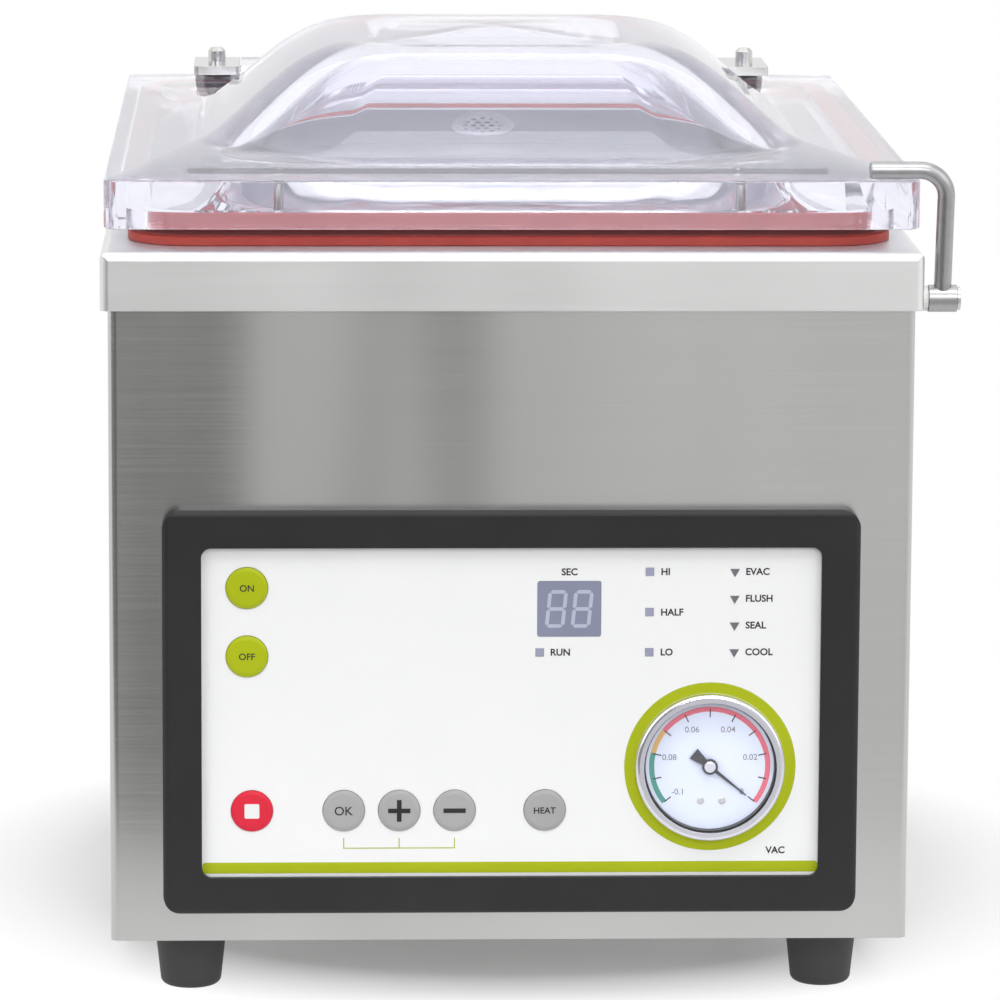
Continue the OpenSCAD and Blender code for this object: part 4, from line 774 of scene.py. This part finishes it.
def makeKeySigns():
    long, thick, square = keySigns["long"], keySigns["thick"], keySigns["square"]
    for sign in ("plus", "minus"):
        piece = startPiece(f"sign_{sign}")
        flatBar(0, 0, long, thick)
        if sign == "plus":
            for side in (-1, 1):
                flatBar(0, side * (long + thick) / 4, thick, (long - thick) / 2)
        standPrint(piece, frontOf(f"key_{sign}"))
        inked(piece, "dark", f"{sign}_button")
    piece = startPiece("sign_stop")
    flatBar(0, 0, square, square, corner=keySigns["corner"], cuts=keySigns["cornerCuts"])
    standPrint(piece, frontOf("key_stop"))
    inked(piece, "white", "stop_button")


wordPrint = {"cap": 2.7 * mm, "bold": 0.10 * mm}
# each word, its millimetres across and up from the frame's middle, and which part of it stands there
panelWords = {
    "word_time": ("SEC", 23.2, 57.6, "CENTER"), "word_run": ("RUN", 15.8, 24.6, "LEFT"),
    "word_high": ("HI", 60.2, 57.6, "LEFT"), "word_mid": ("HALF", 60.2, 41.0, "LEFT"),
    "word_low": ("LO", 60.2, 24.6, "LEFT"), "word_evac": ("EVAC", 94.4, 57.6, "LEFT"),
    "word_flush": ("FLUSH", 94.4, 46.6, "LEFT"), "word_seal": ("SEAL", 94.4, 35.6, "LEFT"),
    "word_cool": ("COOL", 94.4, 24.6, "LEFT"), "word_vac": ("VAC", 107.4, -57.4, "CENTER"),
}


def makePanelWords():
    for name, (words, across, up, side) in panelWords.items():
        at = (windowMid.x + across * mm, face, windowMid.z + up * mm)
        lettering(name, words, wordPrint["cap"], wordPrint["bold"], at, "dark", side=side)


digits = {
    "wide": 6.4 * mm, "high": 14.0 * mm, "thick": 1.5 * mm, "point": 0.735 * mm,
    "gap": 0.35 * mm, "apart": 10.4 * mm, "lean": 0.10,
}


def makeDigits():
    piece = startPiece("display_digits")
    wide, half, thick, gap = digits["wide"], digits["high"] / 2, digits["thick"], digits["gap"]
    for across in (-digits["apart"] / 2, digits["apart"] / 2):
        for up in (-half, 0, half):
            flatBar(across, up, wide - gap, thick, corner=digits["point"])
        for side in (-1, 1):
            for up in (-half / 2, half / 2):
                flatBar(across + side * wide / 2, up, thick, half - gap, corner=digits["point"])
    standPrint(piece, frontOf("display_window"), digits["lean"])
    inked(piece, "pale")


makePanelPrints()
makeKeyWords()
makeKeySigns()
makePanelWords()
makeDigits()
print("panel printed")


# Dial of the gauge: coloured arcs, ticks, numbers, two screws and the needle's cap

dialShape = {
    "arcs": (("pink", -39, 142), ("tan", 142, 166.6), ("teal", 166.6, 219)),
    "arcRadius": 24.6 * mm, "arcWide": 2.1 * mm, "arcStep": 3,
    "sweep": 129, "ticks": 10, "tickLong": 3.4 * mm, "tickWide": 0.5 * mm, "tickLift": 0.025 * mm,
    "numbers": ("0", "0.02", "0.04", "0.06", "0.08", "-0.1"),
    "numberRadius": 16.8 * mm, "numberCap": 2.4 * mm, "numberBold": 0.03 * mm,
}
dialAcross, dialFace, dialUp = frontOf("gauge_dial")


def makeDial():
    radius = dialShape["arcRadius"]
    for ink, start, end in dialShape["arcs"]:
        piece = startPiece(f"dial_{ink}_arc")
        flatArc(radius, dialShape["arcWide"], start, end, round((end - start) / dialShape["arcStep"]))
        standPrint(piece, (dialAcross, dialFace, dialUp))
        inked(piece, ink)
    step = 2 * dialShape["sweep"] / dialShape["ticks"]
    first = 90 - dialShape["sweep"]
    piece = startPiece("dial_ticks")
    long = dialShape["tickLong"]
    tickMid = radius - dialShape["arcWide"] / 2 - long / 2
    for number in range(dialShape["ticks"] + 1):
        flatBar(tickMid, 0, long, dialShape["tickWide"], first + number * step)
    standPrint(piece, (dialAcross, dialFace - dialShape["tickLift"], dialUp))
    inked(piece, "dark")
    numberRadius = dialShape["numberRadius"]
    for place, words in enumerate(dialShape["numbers"]):
        angle = math.radians(first + 2 * place * step)
        at = (dialAcross + numberRadius * math.cos(angle), dialFace, dialUp + numberRadius * math.sin(angle))
        lettering(f"dial_number_{place}", words, dialShape["numberCap"], dialShape["numberBold"], at, "grey")


# the wall and each rim's rise are shares of the height, and each rim's inset is one of the radius
bossShape = {
    "sides": 32, "wall": 0.6, "rims": ((0.10, 0.25), (0.18, 0.15)), "smooth": 40,
    "screwAcross": (-3.6 * mm, 5.1 * mm), "screwUp": -14.3 * mm,
    "screwRadius": 1.5 * mm, "screwHigh": 0.5 * mm, "capRadius": 2.3 * mm, "capHigh": 0.6 * mm,
}


# round boss with a stepped-in rim, drawn flat and stood on a face
def roundBoss(name, radius, high, at):
    piece = startPiece(name)
    bpy.ops.mesh.primitive_circle_add(vertices=bossShape["sides"], radius=radius, fill_type="NGON")
    bpy.ops.mesh.extrude_region_move(TRANSFORM_OT_translate={"value": (0, 0, high * bossShape["wall"])})
    for inset, rise in bossShape["rims"]:
        bpy.ops.mesh.inset(thickness=radius * inset, depth=high * rise)
    bpy.ops.mesh.select_all(action="SELECT")
    bpy.ops.mesh.normals_make_consistent(inside=False)
    bpy.ops.object.mode_set(mode="OBJECT")
    piece.rotation_euler = (math.radians(90), 0, 0)
    piece.location = at
    bpy.ops.object.transform_apply(location=True, rotation=True, scale=True)
    bpy.ops.object.shade_smooth_by_angle(angle=math.radians(bossShape["smooth"]))
    return piece


def makeDialMetal():
    for number, across in enumerate(bossShape["screwAcross"]):
        at = (dialAcross + across, dialFace + printSunk, dialUp + bossShape["screwUp"])
        piece = roundBoss(f"dial_screw_{number}", bossShape["screwRadius"], bossShape["screwHigh"], at)
        settle(piece, "cabinet", finishes["bright_steel"])
    at = (dialAcross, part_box("gauge_needle")[0].y + printSunk, dialUp)
    piece = roundBoss("needle_cap", bossShape["capRadius"], bossShape["capHigh"], at)
    settle(piece, "needle", finishes["chrome_ring"])


makeDial()
makeDialMetal()
print("dial printed")


# Floor, light and camera

floorShape = {
    "front": -0.50, "back": 30.0, "half": 12.0, "cuts": 4,
    "dustScale": 3.0, "dark": (0.86, 0.86, 0.86), "light": (0.90, 0.90, 0.90), "rough": 0.30,
    "shadowShare": 0.84, "shadowNear": 0.19, "shadowFar": 0.255,
}


def lightRays(flow, *kinds):
    path = flow.add("ShaderNodeLightPath").socket.node
    total = Flow(flow.tree, path.outputs[kinds[0]])
    for kind in kinds[1:]:
        total = total + Flow(flow.tree, path.outputs[kind])
    return flow.sums("MINIMUM", total, 1.0)


# pale floor that is white where it is seen, but keeps the shadow close round the object
def makeFloor():
    bpy.ops.object.select_all(action="DESELECT")
    bpy.ops.mesh.primitive_grid_add(
        x_subdivisions=floorShape["cuts"], y_subdivisions=floorShape["cuts"], size=1)
    floor = bpy.context.object
    floor.name = "studioFloor"
    deep = floorShape["back"] - floorShape["front"]
    floor.scale = (2 * floorShape["half"], deep, 1)
    floor.location = (0, floorShape["front"] + deep / 2, 0)
    bpy.ops.object.transform_apply(location=True, rotation=True, scale=True)
    material, flow = newFinish("paleFloor")
    dust = noise(flow, floorShape["dustScale"])
    matt = flow.add("ShaderNodeBsdfPrincipled", None, {
        "Base Color": tint(flow, dust, floorShape["dark"], floorShape["light"]),
        "Roughness": floorShape["rough"],
    })
    white = flow.add("ShaderNodeEmission", None, {"Color": (1, 1, 1, 1), "Strength": 1.0})
    away = flow.add("ShaderNodeVectorMath", {"operation": "LENGTH"}, {0: ownPlace(flow)}, out="Value")
    near = ramp(flow, away, [
        (floorShape["shadowNear"], floorShape["shadowShare"]), (floorShape["shadowFar"], 0.0)])
    seen = lightRays(flow, "Is Camera Ray", "Is Glossy Ray", "Is Transmission Ray") * (1 - near)
    both = flow.add("ShaderNodeMixShader", None, {0: seen, 1: matt, 2: white})
    flow.add("ShaderNodeOutputMaterial", None, {"Surface": both})
    dress(floor, material)


roomShape = {
    "level": 0.55, "leftLevel": 0.22, "rightLevel": 0.74, "topLevel": 0.85,
    "backFrom": 0.30, "backTo": 0.55, "split": 4, "leftTo": 0.46, "rightFrom": 0.55,
    "topFrom": 0.20, "topTo": 0.85,
}


# white all round, greyer overhead and towards the side the camera stands on
def makeWorld():
    world = bpy.data.worlds.new("studioRoom")
    bpy.context.scene.world = world
    world.use_nodes = True
    world.node_tree.nodes.clear()
    flow = Flow(world.node_tree)
    place = flow.add("ShaderNodeTexCoord", out="Generated")
    way = flow.add("ShaderNodeSeparateXYZ", None, {0: place}).socket.node
    across, along, up = (Flow(flow.tree, way.outputs[axis]) for axis in ("X", "Y", "Z"))
    back = ramp(flow, along * 0.5 + 0.5, [(roomShape["backFrom"], 0.0), (roomShape["backTo"], 1.0)])
    front = ramp(flow, across * roomShape["split"] + 0.5, [
        (roomShape["leftTo"], roomShape["leftLevel"]), (roomShape["rightFrom"], roomShape["rightLevel"])])
    above = ramp(flow, up, [(roomShape["topFrom"], 1.0), (roomShape["topTo"], roomShape["topLevel"])])
    level = (back + (1 - back) * front) * above
    room = flow.add("ShaderNodeBackground", None, {"Color": level, "Strength": roomShape["level"]})
    shine = flow.add("ShaderNodeBackground", None, {"Color": level, "Strength": 1.0})
    white = flow.add("ShaderNodeBackground", None, {"Color": (1, 1, 1, 1), "Strength": 1.0})
    glossy = lightRays(flow, "Is Glossy Ray")
    clear = lightRays(flow, "Is Camera Ray", "Is Transmission Ray")
    both = flow.add("ShaderNodeMixShader", None, {0: glossy, 1: room, 2: shine})
    both = flow.add("ShaderNodeMixShader", None, {0: clear, 1: both, 2: white})
    flow.add("ShaderNodeOutputWorld", None, {"Surface": both})


softboxes = {
    "leftBox": {"at": (-1.5, -1.0, 1.1), "to": (0, 0, 0.18), "size": (1.2, 1.6), "watts": 12},
    "rightBox": {"at": (1.6, -1.1, 1.0), "to": (0, 0, 0.18), "size": (1.2, 1.6), "watts": 7.5},
    "topBox": {"at": (0.0, 0.3, 2.0), "to": (0, 0.0, 0.3), "size": (2.2, 2.2), "watts": 9},
    "frontBox": {"at": (0.25, -2.8, 1.5), "to": (0, 0, 0.2), "size": (1.6, 1.0), "watts": 22},
    "hangBox": {"at": (0.0, -0.8, 1.55), "to": (0, -0.24, 0.2), "size": (1.6, 0.5), "watts": 10},
}


def makeLights():
    for name, box in softboxes.items():
        bpy.ops.object.light_add(type="AREA", location=box["at"])
        lamp = bpy.context.object
        lamp.name = name
        lamp.data.shape = "RECTANGLE"
        lamp.data.size, lamp.data.size_y = box["size"]
        lamp.data.energy = box["watts"]
        aim = Vector(box["to"]) - Vector(box["at"])
        lamp.rotation_euler = aim.to_track_quat("-Z", "Y").to_euler()


shot = {
    "eye": (-0.09925, -2.55735, 0.6271), "yaw": 2.134, "pitch": 9.244, "roll": 0.300,
    "sensor": 36, "lens": 211.61, "shiftY": -0.1, "reach": 50,
}
lightTurns = {"max_bounces": 20, "glossy_bounces": 12, "transmission_bounces": 20}  # for the thick clear lid


def makeCamera():
    bpy.ops.object.camera_add()
    camera = bpy.context.object
    camera.name = "studioCamera"
    yaw, pitch, roll = (math.radians(shot[k]) for k in ("yaw", "pitch", "roll"))
    ahead = Vector((math.sin(yaw) * math.cos(pitch), math.cos(yaw) * math.cos(pitch), -math.sin(pitch)))
    right = Vector((math.cos(yaw), -math.sin(yaw), 0))
    up = right.cross(ahead)
    across = math.cos(roll) * right + math.sin(roll) * up
    upward = -math.sin(roll) * right + math.cos(roll) * up
    turn = Matrix((across, upward, -ahead)).transposed().to_4x4()
    camera.matrix_world = Matrix.Translation(shot["eye"]) @ turn
    camera.data.sensor_width = shot["sensor"]
    camera.data.lens = shot["lens"]
    camera.data.shift_y = shot["shiftY"]
    camera.data.clip_end = shot["reach"]
    bpy.context.scene.camera = camera


makeFloor()
makeWorld()
makeLights()
makeCamera()
bpy.context.scene.view_settings.view_transform = "Standard"
for kind, turns in lightTurns.items():
    setattr(bpy.context.scene.cycles, kind, turns)
print("studio set")
